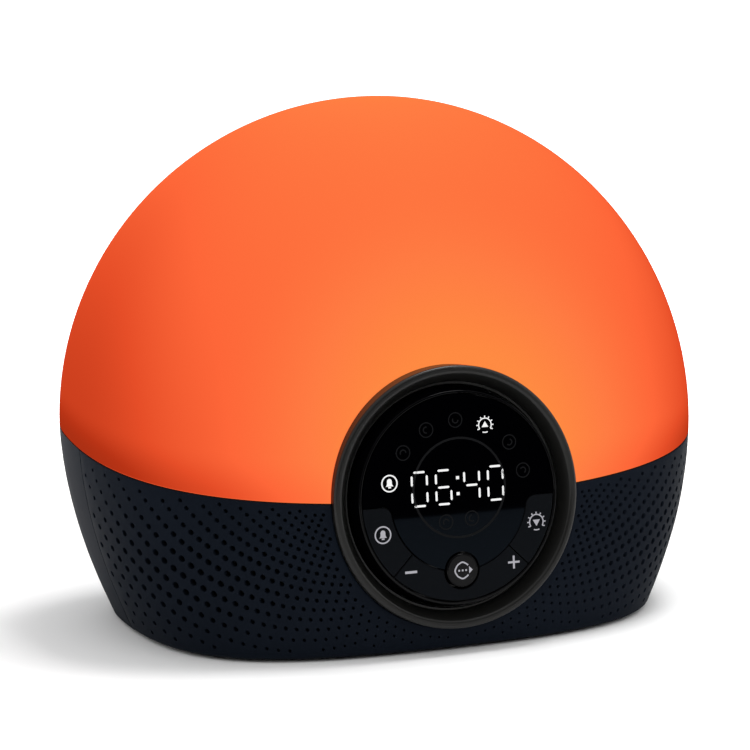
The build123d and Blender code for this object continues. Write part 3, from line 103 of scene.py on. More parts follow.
class ClockBody(bpy.types.PropertyGroup):
    """Rounded form that the dome and the housings share."""

    width: length("Width", "Across the widest section", 210)
    front_reach: length("Front reach", "From the widest plane forward", 72)
    rear_reach: length("Rear reach", "From the widest plane back", 48.5)
    widest_y: length("Widest plane", "Y of the widest plane", 13)
    top_z: length("Top", "Height of the dome's crown", 167)
    base_z: length("Underside", "Height of the housings' underside", 1)
    widest_z: length("Widest height", "Height of the widest section", 65)
    lean_z: length("Lean height", "Height where the front stands furthest forward", 29)
    lean_power: number("Lean power", "How straight the front leans back", 1.6)
    foot_taper: number("Side taper", "How much narrower the sides are at the underside", 0.157)
    front_taper: number("Front taper", "How much the front draws in at the underside", 0.03)
    rear_taper: number("Rear taper", "How much the back draws in at the underside", 0.17)
    taper_power: number("Taper power", "How late the taper begins", 1.78)
    front_fullness: number("Front fullness", "2 is an ellipse and more is squarer", 2.95)
    rear_fullness: number("Rear fullness", "2 is an ellipse and more is squarer", 2.7)
    seam_z: length("Seam height", "Dome meets base at the middle of the widest plane", 56.3)
    seam_pitch: number("Seam pitch", "Drop of the seam for each unit forward", 0.12)
    seam_radius: length("Seam radius", "Radius on which the seam curves up to the sides", 919)
    parting_y: length("Parting plane", "Front housing meets rear housing", -2)
    joint_gap: length("Joint gap", "Gap between two fixed shells", 0.15)
    dome_wall: length("Dome wall", "Thickness of the dome", 3.2)
    dome_edge: length("Dome edge", "Radius on the dome's lower edge", 0.5)
    housing_wall: length("Housing wall", "Thickness of the housings", 2.4)
    foot_edge: length("Foot edge", "Radius round the underside", 1.2)
    housing_edge: length("Housing edge", "Radius on the housing's other edges", 0.4)


class ClockDisplay(bpy.types.PropertyGroup):
    """Place of the round display, and of the marks on it."""

    y: length("Display Y", "Y of the display's centre", -57.7)
    z: length("Display Z", "Z of the display's centre", 48.4)
    tilt: angle("Tilt", "How far the display looks up", 6.4)
    ring_radius: length("Ring radius", "Outer radius of the bezel ring", 40.4)
    mark_rise: length("Mark rise", "How proud the printed and lit marks stand", 0.04)
    digit_left: length("Digits' left end", "Left end of the time", -15.44)
    digit_low: length("Digits' foot", "Lower end of the time", -1.57)
    digit_height: length("Digit height", "Height of one digit", 10.31)
    digit_width: length("Digit width", "Width of one digit", 4.95)
    digit_pitch: length("Digit pitch", "One digit to the next within a pair", 7.92)
    pair_gap: length("Pair gap", "More pitch between hours and minutes", 1.44)
    digit_stroke: length("Digit stroke", "Width of a lit segment", 0.66)
    level_end: length("Level segment end", "How far a level segment stops short of its corner", 0.62)
    upright_end: length("Upright segment end", "How far an upright segment stops short of its corner", 1.05)
    key_depth: length("Key depth", "Key faces below the display's front", 0.15)
    menu_y: length("Menu key", "Height of the round key's centre", -22.3)
    menu_proud: length("Menu key proud", "How far the round key stands out", 0.5)


class ClockGrille(bpy.types.PropertyGroup):
    """Field of holes in the front: rows that follow an arc, columns that fan out from it."""

    arc_across: length("Arc centre across", "Along the surface from the middle of the front", 53.06)
    arc_height: length("Arc centre height", "Height of the first row's centre", 95.73)
    arc_radius: length("Arc radius", "Radius of the first row", 88.39)
    first_angle: number("First angle", "Where column 0 stands on the arc, in radians", -0.1332)
    step_angle: number("Step angle", "One column to the next on the arc, in radians", 0.0428)
    lean: number("Column lean", "Lean of column 0 in degrees", 20.86)
    lean_step: number("Lean step", "More lean for each column, in degrees", 1.623)
    pitch: length("Hole pitch", "Hole to hole up column 0", 3.398)
    pitch_step: length("Pitch step", "More pitch for each column", 0.1257)
    pitch_close: length("Pitch close", "How the pitch closes up the column", 0.088)
    hole_smallest: length("Smallest hole", "Radius of the furthest dots", 0.3)
    hole_largest: length("Largest hole", "Radius where the field is most open", 1.1)
    open_across: length("Open place across", "Along the surface from the middle of the front", 101)
    open_z: length("Open place height", "Height at which the holes are largest", 27)
    falloff_across: length("Falloff across", "How fast the holes shrink along the surface", 61)
    falloff_up: length("Falloff upward", "How fast the holes shrink up and down", 25.3)
    through_radius: length("Through radius", "Smaller holes are blind", 0.8)
    blind_depth: length("Blind depth", "Depth of a blind dot", 1.5)
    hole_edge: length("Hole edge", "Chamfer round each hole", 0.13)


class ClockFinish(bpy.types.PropertyGroup):
    """Colours of the outside."""

    # Colours of the dome's glow, whose light is painted: from the painted pool of light above the display to the
    # painted shade at its sides and low edges
    glow_bright: colour("Bright glow", "Dome just above the display", "fe8a42")
    glow: colour("Glow", "Dome over most of its face", "fe7b42")
    glow_soft: colour("Soft glow", "Dome halfway to its sides", "fd6638")
    glow_deep: colour("Deep glow", "Dome near its sides", "e54d27")
    glow_edge: colour("Edge glow", "Dome at its sides", "b73214")
    glow_dark: colour("Dark glow", "Dome's low edges", "76200c")
    housing: colour("Housing", "Slate of the housings", "10151d")
    ring: colour("Ring", "Warm dark grey of the bezel ring", "131312")
    gloss: colour("Gloss", "Black of the display", "010102")
    key: colour("Keys", "Soft black of the keys", "0b0b0c")
    lit: colour("Lit marks", "Light of the digits and icons", "ffffff")
    # Printed and unlit marks are drawn as a glow of these colours: real print, painted light
    printed: colour("Printed marks", "Grey of the key marks", "c9c8d0")
    unlit: colour("Unlit marks", "Icons that stay dark behind the lens", "08090b")
    floor: colour("Floor", "Floor and backdrop", "ffffff")


GROUPS = (("clock_body", ClockBody), ("clock_display", ClockDisplay), ("clock_grille", ClockGrille),
          ("clock_finish", ClockFinish))


# ------------------------------------------------------------------ the body's form
def handle_share(fullness):
    """Share of the reach at which a Bezier quarter's handles stand, so that its middle is on a superellipse."""
    return (2 ** (-1 / fullness) - 0.5) / 0.375


def quarter(t, fullness):
    """Cubic Bezier quarter from (1, 0) at t = 0 to (0, 1) at t = 1, with both handles square to the axes."""
    k = handle_share(fullness)
    u = 1 - t
    return u**3 + 3 * u * u * t + 3 * u * t * t * k, 3 * u * u * t * k + 3 * u * t * t + t**3


def reaches(body, z, inset=0.0):
    """Half width, front reach and rear reach of the level section at z.

    Above the widest height the sides and the back follow an ellipse, and above the lean height the front follows
    1 - s**p to the power 1 / p. Below these heights each tapers with a power of the depth.
    """
    crown = body.top_z - inset
    up = np.clip((z - body.widest_z) / (crown - body.widest_z), 0, 1)
    down = np.clip((body.widest_z - z) / (body.widest_z - body.base_z), 0, 1) ** body.taper_power
    above = z >= body.widest_z
    dome = np.sqrt(1 - up**2)
    half = np.where(above, (body.width / 2 - inset) * dome,
                    body.width / 2 * (1 - body.foot_taper * down) - inset)
    rear = np.where(above, (body.rear_reach - inset) * dome,
                    body.rear_reach * (1 - body.rear_taper * down) - inset)
    lean = np.clip((z - body.lean_z) / (crown - body.lean_z), 0, 1) ** body.lean_power
    foot = np.clip((body.lean_z - z) / (body.lean_z - body.base_z), 0, 1) ** body.taper_power
    front = np.where(z >= body.lean_z, (body.front_reach - inset) * (1 - lean) ** (1 / body.lean_power),
                     body.front_reach * (1 - body.front_taper * foot) - inset)
    return half, front, rear


def body_point(body, turn, z, inset=0.0):
    """Point of the form at a height and a turn: 0 is the front, 1 the +X side, 2 the back and 3 the -X side."""
    turn, z, inset = np.broadcast_arrays(np.mod(turn, 4), z, inset)
    half, front, rear = reaches(body, z, inset)
    is_front = (turn < 1) | (turn >= 3)
    share = np.select([turn < 1, turn < 2, turn < 3], [1 - turn, turn - 1, 3 - turn], turn - 3)
    side_front, reach_front = quarter(share, body.front_fullness)
    side_rear, reach_rear = quarter(share, body.rear_fullness)
    x = np.where(turn < 2, 1, -1) * half * np.where(is_front, side_front, side_rear)
    y = body.widest_y + np.where(is_front, -front * reach_front, rear * reach_rear)
    return np.stack([x, y, z], -1)


def front_turn(body, x, z, inset=0.0):
    """Turn, from -1 to 1, at which the front half of the form has this x at this height."""
    half, _, _ = reaches(body, z, inset)
    t = np.linspace(1, 0, 4001)
    side, _ = quarter(t, body.front_fullness)
    return np.sign(x) * (1 - np.interp(np.abs(x) / half, side, t))


def seam_height(body, x, y):
    """Height of the joint between dome and base: a plane that drops forward, curved up to the sides on a radius."""
    sag = body.seam_radius - np.sqrt(body.seam_radius**2 - x**2)
    return body.seam_z + body.seam_pitch * (y - body.widest_y) + sag


def seam_on_body(body, turn, lift=0.0, inset=0.0):
    """Height at which the form's surface meets the seam, raised by lift."""
    z = body.seam_z
    for _ in range(6):
        point = body_point(body, turn, z, inset)
        z = seam_height(body, point[..., 0], point[..., 1]) + lift
    return z


def display_point(display, x, y, depth):
    """Point at x and y in the display's plane and a depth behind its front."""
    up = np.sin(display.tilt), np.cos(display.tilt)
    return np.stack(np.broadcast_arrays(
        x, display.y + y * up[0] + depth * up[1], display.z + y * up[1] - depth * up[0]), -1)


def ring_on_body(body, display, angle_round, radius, inset=0.0):
    """Turn and height where a cylinder about the display's axis meets the form, at an angle from the top."""
    x = radius * np.sin(angle_round)
    y = radius * np.cos(angle_round)
    depth = np.zeros_like(x)
    for _ in range(14):
        point = display_point(display, x, y, depth)
        turn = front_turn(body, x, point[..., 2], inset)
        on_form = body_point(body, turn, point[..., 2], inset)
        depth = depth + (on_form[..., 1] - point[..., 1]) / math.cos(display.tilt)
    return turn, point[..., 2]


def ring_meets_seam(body, display, radius, lift, inset=0.0):
    """Angle from the top at which that cylinder crosses the seam on the +X side."""
    tried = np.linspace(0.2, math.pi - 0.2, 1500)
    turn, z = ring_on_body(body, display, tried, radius, inset)
    point = body_point(body, turn, z, inset)
    over = z - seam_height(body, point[..., 0], point[..., 1]) - lift
    return float(np.interp(0, -over, tried))


def arc_table(body):
    """Distance along the widest section from the middle of the front, and the turn there."""
    turn = np.linspace(0, 1, 2001)
    points = body_point(body, turn, body.widest_z)
    widest = points.copy()
    widest[:, 1] = body.widest_y + (points[:, 1] - body.widest_y) * body.front_reach / (
        body.widest_y - points[0, 1])
    steps = np.linalg.norm(np.diff(widest, axis=0), axis=1)
    return np.concatenate([[0], np.cumsum(steps)]), turn


def turn_at(table, across):
    return np.sign(across) * np.interp(np.abs(across), *table)


def across_at(table, turn):
    return np.sign(turn) * np.interp(np.abs(turn), table[1], table[0])


# ------------------------------------------------------------------ meshes
def numbered(rows, columns, start=0):
    """Point numbers of a grid, row by row."""
    return start + np.arange(rows * columns).reshape(rows, columns)


def grid_faces(numbers, wrap=False):
    """Quads between neighbouring rows of point numbers. wrap joins the last column to the first."""
    after = np.roll(numbers, -1, axis=-1)
    quads = np.stack([numbers[:-1], after[:-1], after[1:], numbers[1:]], -1)
    return (quads if wrap else quads[..., :-1, :]).reshape(-1, 4)


def turned_over(quads):
    return quads[:, [1, 0, 3, 2]]


def fan_faces(loops, centres):
    """Triangles from centre points to closed loops of points."""
    centres = np.broadcast_to(centres, loops.shape)
    return np.stack([loops, np.roll(loops, -1, axis=-1), centres], -1).reshape(-1, 3)


def volume(points, faces):
    """Signed volume inside closed faces, positive where they point outwards."""
    total = 0.0
    for group in faces:
        for k in range(1, group.shape[1] - 1):
            a, b, c = points[group[:, 0]], points[group[:, k]], points[group[:, k + 1]]
            total += np.einsum("ij,ij->i", a, np.cross(b, c)).sum() / 6
    return total


def put_in_scene(name, data):
    thing = bpy.data.objects.new(name, data)
    bpy.context.scene.collection.objects.link(thing)
    return thing


def make_piece(name, points, faces, material, slot, body="clock", sharp=35.0):
    """Puts points and groups of faces, each an array with one face a row, into a piece that rides on a body."""
    points = np.ascontiguousarray(points, float)
    if volume(points, faces) < 0:
        faces = [group[:, ::-1] for group in faces]
    mesh = bpy.data.meshes.new(name)
    corners = np.concatenate([group.ravel() for group in faces])
    sizes = np.concatenate([np.full(len(group), group.shape[1]) for group in faces])
    mesh.vertices.add(len(points))
    mesh.vertices.foreach_set("co", points.ravel())
    mesh.loops.add(len(corners))
    mesh.loops.foreach_set("vertex_index", corners.astype(np.int32))
    mesh.polygons.add(len(sizes))
    mesh.polygons.foreach_set("loop_start", np.concatenate([[0], np.cumsum(sizes)[:-1]]).astype(np.int32))
    mesh.polygons.foreach_set("use_smooth", np.ones(len(sizes), bool))
    mesh.update(calc_edges=True)
    mesh.validate()
    mesh.set_sharp_from_angle(angle=math.radians(sharp))
    mesh.materials.append(material)
    piece = put_in_scene(name, mesh)
    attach(piece, body)
    return piece


def edge_profile(radius, steps=4):
    """Quarter round: how far along and how deep each of its points is, from the face to the edge."""
    a = np.linspace(0, math.pi / 2, steps + 1)[1:]
    return radius * np.sin(a), radius * (1 - np.cos(a))


# ------------------------------------------------------------------ dome
def dome_edge(body, display, ring_columns, seam_columns, offset=0.0, inset=0.0):
    """Turn and height round the dome's lower edge: over the display ring, then along the seam round the back.

    offset moves the line away from the ring and up from the seam.
    """
    radius = display.ring_radius + body.joint_gap + offset
    lift = body.joint_gap + offset
    meet = ring_meets_seam(body, display, radius, lift, inset)
    over = np.linspace(-meet, meet, ring_columns)
    ring_turn, ring_z = ring_on_body(body, display, over, radius, inset)
    corner = ring_turn[-1]
    back = np.linspace(corner, 4 - corner, seam_columns + 2)[1:-1]
    return np.concatenate([ring_turn, back]), np.concatenate([ring_z, seam_on_body(body, back, lift, inset)])


def dome_surface(body, display, rows=56, ring_columns=110, seam_columns=210):
    """Closed shell of the dome.

    Each column starts on the lower edge and climbs to the crown, where the columns stand evenly. Height rises with
    the sine of the row's share, so that rows close in evenly on the crown.
    """
    columns = ring_columns + seam_columns
    start_turn, start_z = dome_edge(body, display, ring_columns, seam_columns)
    start = body_point(body, start_turn, start_z)
    steps = np.linalg.norm(np.diff(start, axis=0, append=start[:1]), axis=1)
    share = np.concatenate([[0], np.cumsum(steps)[:-1]]) / steps.sum()
    middle = share[ring_columns - 1] / 2
    even = (share - middle) * 4

    def rows_from(offset, inset, climb):
        turn, z = dome_edge(body, display, ring_columns, seam_columns, offset, inset)
        climb = climb[:, None]
        crown = body.top_z - inset
        height = z + (crown - z) * np.sin(climb * math.pi / 2)
        return body_point(body, turn + (even - turn) * climb, height, inset)

    climb = np.linspace(0, 1, rows + 1)[:-1]
    along, deep = edge_profile(body.dome_edge)
    edge = body.dome_edge
    outer = rows_from(edge, 0.0, climb)
    inner = rows_from(0.0, body.dome_wall, climb)
    rounding = [rows_from(edge - a, d, climb[:1]) for a, d in zip(along[::-1], deep[::-1])]
    grid = np.concatenate([inner[::-1], *rounding, outer])
    crowns = np.array([[0, body.widest_y, body.top_z - body.dome_wall], [0, body.widest_y, body.top_z]])
    points = np.concatenate([grid.reshape(-1, 3), crowns])
    numbers = numbered(len(grid), columns)
    return points, [grid_faces(numbers, wrap=True), fan_faces(numbers[0, ::-1], len(points) - 2),
                    fan_faces(numbers[-1], len(points) - 1)]


# ------------------------------------------------------------------ perforated front
def hole_places(body, display, grille):
    """Across, height and radius of every hole.

    A column stands at each step of an arc. It leans more, and its holes stand further apart, the further it is from
    the middle. Holes shrink with the distance from the most open place of their side.
    """
    column, row = np.meshgrid(COLUMNS, ROWS)
    turned = grille.first_angle + grille.step_angle * column
    lean = np.radians(grille.lean + grille.lean_step * column)
    run = row * (grille.pitch + grille.pitch_step * column) - grille.pitch_close * row**2
    across = -grille.arc_across - grille.arc_radius * np.sin(turned) + run * np.sin(lean)
    height = grille.arc_height - grille.arc_radius * np.cos(turned) + run * np.cos(lean)
    rising = np.gradient(run, axis=0) > LEAST_PITCH
    across, height = across[rising], height[rising]
    away = np.hypot((across + grille.open_across) / grille.falloff_across,
                    (height - grille.open_z) / grille.falloff_up)
    radius = grille.hole_smallest + (grille.hole_largest - grille.hole_smallest) * np.exp(-away**2)
    turn = turn_at(arc_table(body), across)
    point = body_point(body, turn, height)
    centre = display_point(display, 0.0, 0.0, 0.0)
    axis = np.array([0, -math.cos(display.tilt), math.sin(display.tilt)])
    from_ring = np.linalg.norm(np.cross(point - centre, axis), axis=-1)
    seam = seam_height(body, point[:, 0], point[:, 1])
    keep = (from_ring > display.ring_radius + CLEAR_OF_RING + radius) & (height < seam - CLEAR_OF_SEAM - radius)
    keep &= (height > body.base_z + CLEAR_OF_FOOT + radius) & (across < -CLEAR_OF_MIDDLE)
    keep &= (point[:, 1] < body.parting_y - CLEAR_OF_PARTING - radius) & (turn > -1)
    across, height, radius = across[keep], height[keep], radius[keep]
    return np.concatenate([across, -across]), np.tile(height, 2), np.tile(radius, 2)


def front_outline(body, display, drawn_in):
    """Closed outline of the front in across and height, and the edge radius at each of its points.

    drawn_in of 1 moves the outline in by the edge radii, and 0 leaves it.
    """
    table = arc_table(body)
    edge = body.housing_edge * drawn_in
    low = body.base_z + body.foot_edge * drawn_in
    radius = display.ring_radius + body.joint_gap + edge

    def side_at(z):
        """How far across the parting plane stands at a height, less the edge radius."""
        _, front, _ = reaches(body, z)
        t = np.linspace(0, 1, 4001)
        _, reach = quarter(t, body.front_fullness)
        plane = body.widest_y - body.parting_y + body.joint_gap / 2
        return across_at(table, 1 - np.interp(plane / front, reach, t)) - edge

    corner_z = low
    for _ in range(8):
        corner = side_at(np.array([corner_z]))
        corner_z = float(seam_on_body(body, turn_at(table, corner), -edge)[0])
    side_z = np.linspace(low, corner_z, SIDE_ROWS)
    side = side_at(side_z)
    foot = np.linspace(-side[0], side[0], FOOT_COLUMNS)
    meet = ring_meets_seam(body, display, radius, -edge)
    under = np.linspace(meet, 2 * math.pi - meet, RING_COLUMNS)
    ring_turn, ring_z = ring_on_body(body, display, under, radius)
    ring = across_at(table, ring_turn)
    along = np.linspace(side[-1], ring[0], SEAM_COLUMNS)
    seam = seam_on_body(body, turn_at(table, along), -edge)
    parts = ((foot, low), (side, side_z), (along, seam), (ring, ring_z), (-along[::-1], seam[::-1]),
             (-side[::-1], side_z[::-1]))
    outline = np.concatenate([np.stack(np.broadcast_arrays(*part), -1)[:-1] for part in parts])
    radii = np.full(len(outline), body.housing_edge)
    radii[:FOOT_COLUMNS - 1] = body.foot_edge
    return outline, radii


def inside(points, outline):
    """Which points are inside a closed outline: how often a ray towards +X crosses it is odd."""
    x, y = points[:, 0][:, None], points[:, 1][:, None]
    x0, y0 = outline[:, 0], outline[:, 1]
    x1, y1 = np.roll(x0, -1), np.roll(y0, -1)
    spans = (y0 > y) != (y1 > y)
    cross = x0 + (y - y0) * (x1 - x0) / np.where(y1 == y0, 1, y1 - y0)
    return (spans & (x < cross)).sum(1) % 2 == 1


def perforated_faces(outline, rims):
    """Triangles between an outline and the rims of holes, all as points in one plane: a constrained Delaunay net.

    Points are numbered outline first, then rim by rim.
    """
    sides, count = rims.shape[1], len(outline)
    flat = np.concatenate([outline, rims.reshape(-1, 2)])
    loops = numbered(1, count), numbered(len(rims), sides, count)
    edges = [np.stack([loop, np.roll(loop, -1, axis=1)], -1).reshape(-1, 2) for loop in loops]
    _, _, found, origins, _, _ = delaunay_2d_cdt(
        [Vector(p) for p in (flat / MM).tolist()], np.concatenate(edges).tolist(), [], 0, 1e-6)
    triangles = np.array([o[0] for o in origins])[np.array(found)]
    owner = np.where(triangles < count, -1 - triangles, (triangles - count) // sides)
    in_hole = (owner[:, 0] == owner[:, 1]) & (owner[:, 1] == owner[:, 2])
    triangles = triangles[~in_hole]
    triangles = triangles[inside(flat[triangles].mean(1), outline)]
    a, b, c = (flat[triangles[:, k]] for k in range(3))
    turned = (b[:, 0] - a[:, 0]) * (c[:, 1] - a[:, 1]) - (b[:, 1] - a[:, 1]) * (c[:, 0] - a[:, 0]) < 0
    triangles[turned] = triangles[turned][:, ::-1]
    return triangles


def front_surface(body, display, grille, sides=12):
    """Closed shell of the front: an outer and an inner skin, joined round the edge and in each open hole."""
    table = arc_table(body)
    across, height, radius = hole_places(body, display, grille)
    spin = np.arange(sides) * 2 * math.pi / sides
    rim = np.stack([np.cos(spin), np.sin(spin)], -1)[None]
    centre = np.stack([across, height], -1)[:, None]
    wide = centre + rim * (radius + grille.hole_edge)[:, None, None]
    mouth = centre + rim * radius[:, None, None]
    through = radius > grille.through_radius
    depth = np.where(through, body.housing_wall, grille.blind_depth)[:, None]
    drawn_in, radii = front_outline(body, display, 1)
    full, _ = front_outline(body, display, 0)
    layers = [(drawn_in, 0.0), (wide, 0.0), (mouth, grille.hole_edge), (mouth, depth),
              (centre[~through, 0], grille.blind_depth)]
    first_edge = len(layers)
    layers += [(drawn_in + (full - drawn_in) * along, radii * deep) for along, deep in zip(*edge_profile(1.0))]
    layers.append((full, body.housing_wall))
    points = [body_point(body, turn_at(table, flat[..., 0]), flat[..., 1], inset).reshape(-1, 3)
              for flat, inset in layers]
    starts = np.cumsum([0] + [len(layer) for layer in points])
    rings = np.stack([numbered(len(radius), sides, start) for start in starts[1:4]])
    edges = starts[[0, *range(first_edge, len(layers))]][:, None] + np.arange(len(full))
    caps = fan_faces(rings[2][~through], starts[4] + np.arange((~through).sum())[:, None])[:, [1, 0, 2]]
    order = np.concatenate([edges[-1], rings[2][through].ravel()])
    inner = order[perforated_faces(full, mouth[through])][:, ::-1]
    return np.concatenate(points), [perforated_faces(drawn_in, wide), inner,
                                    turned_over(grid_faces(rings, wrap=True)), caps,
                                    turned_over(grid_faces(edges, wrap=True))]


def front_floor_surface(body, display):
    """Half-moon plate that closes the front's underside, between the inner skin and the parting plane."""
    sunk, clear = 0.1 * MM, 0.2 * MM
    outline, _ = front_outline(body, display, 0)
    turn = turn_at(arc_table(body), outline[:FOOT_COLUMNS, 0])
    curve = body_point(body, turn, body.base_z, body.housing_wall - sunk)
    line = curve.copy()
    line[:, 1] = np.maximum(body.parting_y - body.joint_gap, curve[:, 1] + clear)
    low, high = np.array([0, 0, clear]), np.array([0, 0, body.housing_wall])
    numbers = numbered(4, FOOT_COLUMNS)
    ends = np.stack([numbers[:, 0], numbers[::-1, -1]])
    return (np.concatenate([curve + low, line + low, line + high, curve + high]),
            [grid_faces(numbers[[0, 1, 2, 3, 0]]), ends])


# ------------------------------------------------------------------ marks on the display
def stroke(path, width, closed=False):
    """Flat ribbon along a path of points in the display's plane: its left and right edges, square to the path."""
    path = np.asarray(path, float)
    if closed:
        ahead = np.roll(path, -1, axis=0) - np.roll(path, 1, axis=0)
    else:
        ahead = np.gradient(path, axis=0)
    ahead /= np.linalg.norm(ahead, axis=1, keepdims=True)
    side = np.stack([-ahead[:, 1], ahead[:, 0]], -1) * np.broadcast_to(width, len(path))[:, None] / 2
    return path + side, path - side, closed


def mark_mesh(display, strokes, depth):
    """Thin raised bars from ribbons: each ribbon gets a face, an underside just below the surface, and edges."""
    points, faces, start, rise = [], [], 0, display.mark_rise
    for left, right, closed in strokes:
        corners = (left, -rise), (right, -rise), (right, rise), (left, rise)
        rows = np.stack([display_point(display, *(edge.T * MM), depth + d) for edge, d in corners], 1)
        numbers = numbered(len(left), 4, start)
        points.append(rows.reshape(-1, 3))
        faces.append(grid_faces(np.concatenate([numbers, numbers[:1]]) if closed else numbers, wrap=True))
        if not closed:
            faces.append(np.stack([numbers[0, ::-1], numbers[-1]]))
        start += numbers.size
    return np.concatenate(points), faces


def circle(x, y, radius, start=0.0, end=360.0, steps=40):
    a = np.radians(np.linspace(start, end, steps + 1))
    return np.stack([x + radius * np.cos(a), y + radius * np.sin(a)], -1)


def ring_stroke(x, y, radius, width):
    return stroke(circle(x, y, radius)[:-1], width, closed=True)


SEGMENTS = {  # ends of each bar as shares of the digit's width and height
    "a": ((0, 1), (1, 1)), "b": ((1, 1), (1, 0.5)), "c": ((1, 0.5), (1, 0)), "d": ((0, 0), (1, 0)),
    "e": ((0, 0.5), (0, 0)), "f": ((0, 1), (0, 0.5)), "g": ((0, 0.5), (1, 0.5)),
}
DIGIT_BARS = {"0": "abcdef", "4": "bcfg", "6": "acdefg"}


def digit_strokes(display, digit, left):
    """Bars of one seven-segment digit, each stopped short of its corners and narrowed at its ends."""
    bars = []
    size = np.array([display.digit_width, display.digit_height]) / MM
    low = np.array([left, display.digit_low / MM])
    width = display.digit_stroke / MM
    for name in DIGIT_BARS[digit]:
        a, b = (low + np.array(end) * size for end in SEGMENTS[name])
        run = (b - a) / np.linalg.norm(b - a)
        short = (display.level_end if a[1] == b[1] else display.upright_end) / MM
        ends = (a + run * short, b - run * short)
        tip = width * 0.45
        path = [ends[0], ends[0] + run * tip, ends[1] - run * tip, ends[1]]
        bars.append(stroke(path, np.array([0.35, 1, 1, 0.35]) * width))
    return bars


def time_strokes(display):
    """06:40, with a colon between the pairs."""
    left, pitch = display.digit_left / MM, display.digit_pitch / MM
    gap = display.pair_gap / MM
    places = (0, pitch, 2 * pitch + gap, 3 * pitch + gap)
    bars = [bar for digit, place in zip("0640", places) for bar in digit_strokes(display, digit, left + place)]
    middle = left + (3 * pitch + gap + display.digit_width / MM) / 2
    low, high = display.digit_low / MM, (display.digit_low + display.digit_height) / MM
    for y in (low + (high - low) * 0.275, low + (high - low) * 0.75):
        bars.append(stroke([(middle - 0.5, y), (middle + 0.5, y)], 0.95))
    return bars


def bell_strokes(x, y, size):
    """Filled bell: its width follows a quarter round from the top and flares with a square to the rim."""
    t = np.linspace(0, 1, 17)
    spine = np.stack([np.full(17, x), y + size * (0.95 - 1.55 * t)], -1)
    round_top = np.sqrt(1 - (1 - np.minimum(t / 0.4, 1)) ** 2)
    flare = np.clip((t - 0.6) / 0.4, 0, 1) ** 2
    body = stroke(spine, size * (0.1 + 0.95 * round_top + 0.6 * flare))
    clapper = stroke([(x - size * 0.3, y - size * 0.82), (x + size * 0.3, y - size * 0.82)], size * 0.3)
    return [body, clapper]


def bell_in_ring(x, y, radius):
    return [ring_stroke(x, y, radius, 0.42), *bell_strokes(x, y, 1.5)]


def sun_strokes(x, y, radius, width, pointing_up):
    """Sun on the horizon, with short rays, and a triangle that points the way it moves."""
    marks = [stroke(circle(x, y, radius, -32, 212), width), stroke(circle(x, y, radius * 1.08, 248, 292, 12), width)]
    for a in np.radians(np.linspace(0, 180, 7)):
        along = np.array([math.cos(a), math.sin(a)])
        marks.append(stroke([along * radius * 1.1 + (x, y), along * radius * 1.36 + (x, y)], width))
    for side in (-1, 1):
        start = np.array([x + side * radius * 0.85, y - radius * 0.53])
        marks.append(stroke([start, start + (side * radius * 0.36, -radius * 0.08)], width))
    way = 1 if pointing_up else -1
    base = y - way * radius * 0.3
    marks.append(stroke([(x, base), (x, base + way * radius * 0.85)], np.array([radius * 1.05, 0.03])))
    return marks


def menu_strokes(x, y, radius, width):
    """Ring with four shallow lobes, open on the right round an arrowhead, and three dots inside."""
    turned = np.radians(np.linspace(38, 322, 61))
    out = radius + 0.16 * np.clip(np.cos(4 * turned), 0, 1)
    marks = [stroke(np.stack([x + out * np.cos(turned), y + out * np.sin(turned)], -1), width)]
    marks.append(stroke([(x + radius * 0.92, y), (x + radius * 1.42, y)], np.array([radius * 0.95, 0.03])))
    return marks + [stroke([(x + d - 0.27, y), (x + d + 0.27, y)], 0.55) for d in (-1.15, 0.0, 1.15)]


def unlit_strokes():
    """Ring round the time and the icons that stay dark, faint behind the lens."""
    marks = [ring_stroke(0.15, 3.1, 15.2, 0.7)]
    places = ((-17.9, 15.0), (-10.1, 21.4), (-0.4, 23.8), (17.3, 15.8), (21.6, 6.8), (-4.7, -7.1), (3.9, -6.6))
    for turned, (x, y) in enumerate(places):
        marks += [ring_stroke(x, y, 2.2, 0.35), stroke(circle(x, y, 0.9, turned * 75, turned * 75 + 210), 0.4)]
    return marks


# ------------------------------------------------------------------ finishes
def feed(node, inputs):
    """Links the sockets and sets the values that are given for a node's inputs, by name or number."""
    for name, value in inputs.items():
        socket = node.inputs[name]
        if isinstance(value, bpy.types.NodeSocket):
            node.id_data.links.new(value, socket)
        else:
            socket.default_value = (*tuple(value)[:3], 1) if socket.type == "RGBA" else value


def add_node(tree, kind, place, inputs=None, **settings):
    node = tree.nodes.new(kind)
    node.location = place
    for name, value in settings.items():
        setattr(node, name, value)
    feed(node, inputs or {})
    return node


def maths(tree, place, operation, *inputs):
    return add_node(tree, "ShaderNodeMath", place, dict(enumerate(inputs)), operation=operation).outputs[0]


def smooth_step(tree, place, value, start, end, low=0.0, high=1.0):
    """Socket that goes smoothly from low, where the value is start, to high, where it is end."""
    inputs = {"Value": value, "From Min": start, "From Max": end, "To Min": low, "To Max": high}
    return add_node(tree, "ShaderNodeMapRange", place, inputs, interpolation_type="SMOOTHSTEP").outputs["Result"]


def split(tree, place, vector):
    return add_node(tree, "ShaderNodeSeparateXYZ", place, {0: vector}).outputs


def coordinates(tree, kind="Object", place=(-900, 0)):
    return add_node(tree, "ShaderNodeTexCoord", place).outputs[kind]


def new_material(name):
    """Material with a Principled shader: the material, its node tree and the shader."""
    material = bpy.data.materials.new(name)
    material.use_nodes = True
    tree = material.node_tree
    tree.nodes.clear()
    shader = add_node(tree, "ShaderNodeBsdfPrincipled", (300, 0))
    add_node(tree, "ShaderNodeOutputMaterial", (600, 0), {"Surface": shader.outputs["BSDF"]})
    return material, tree, shader


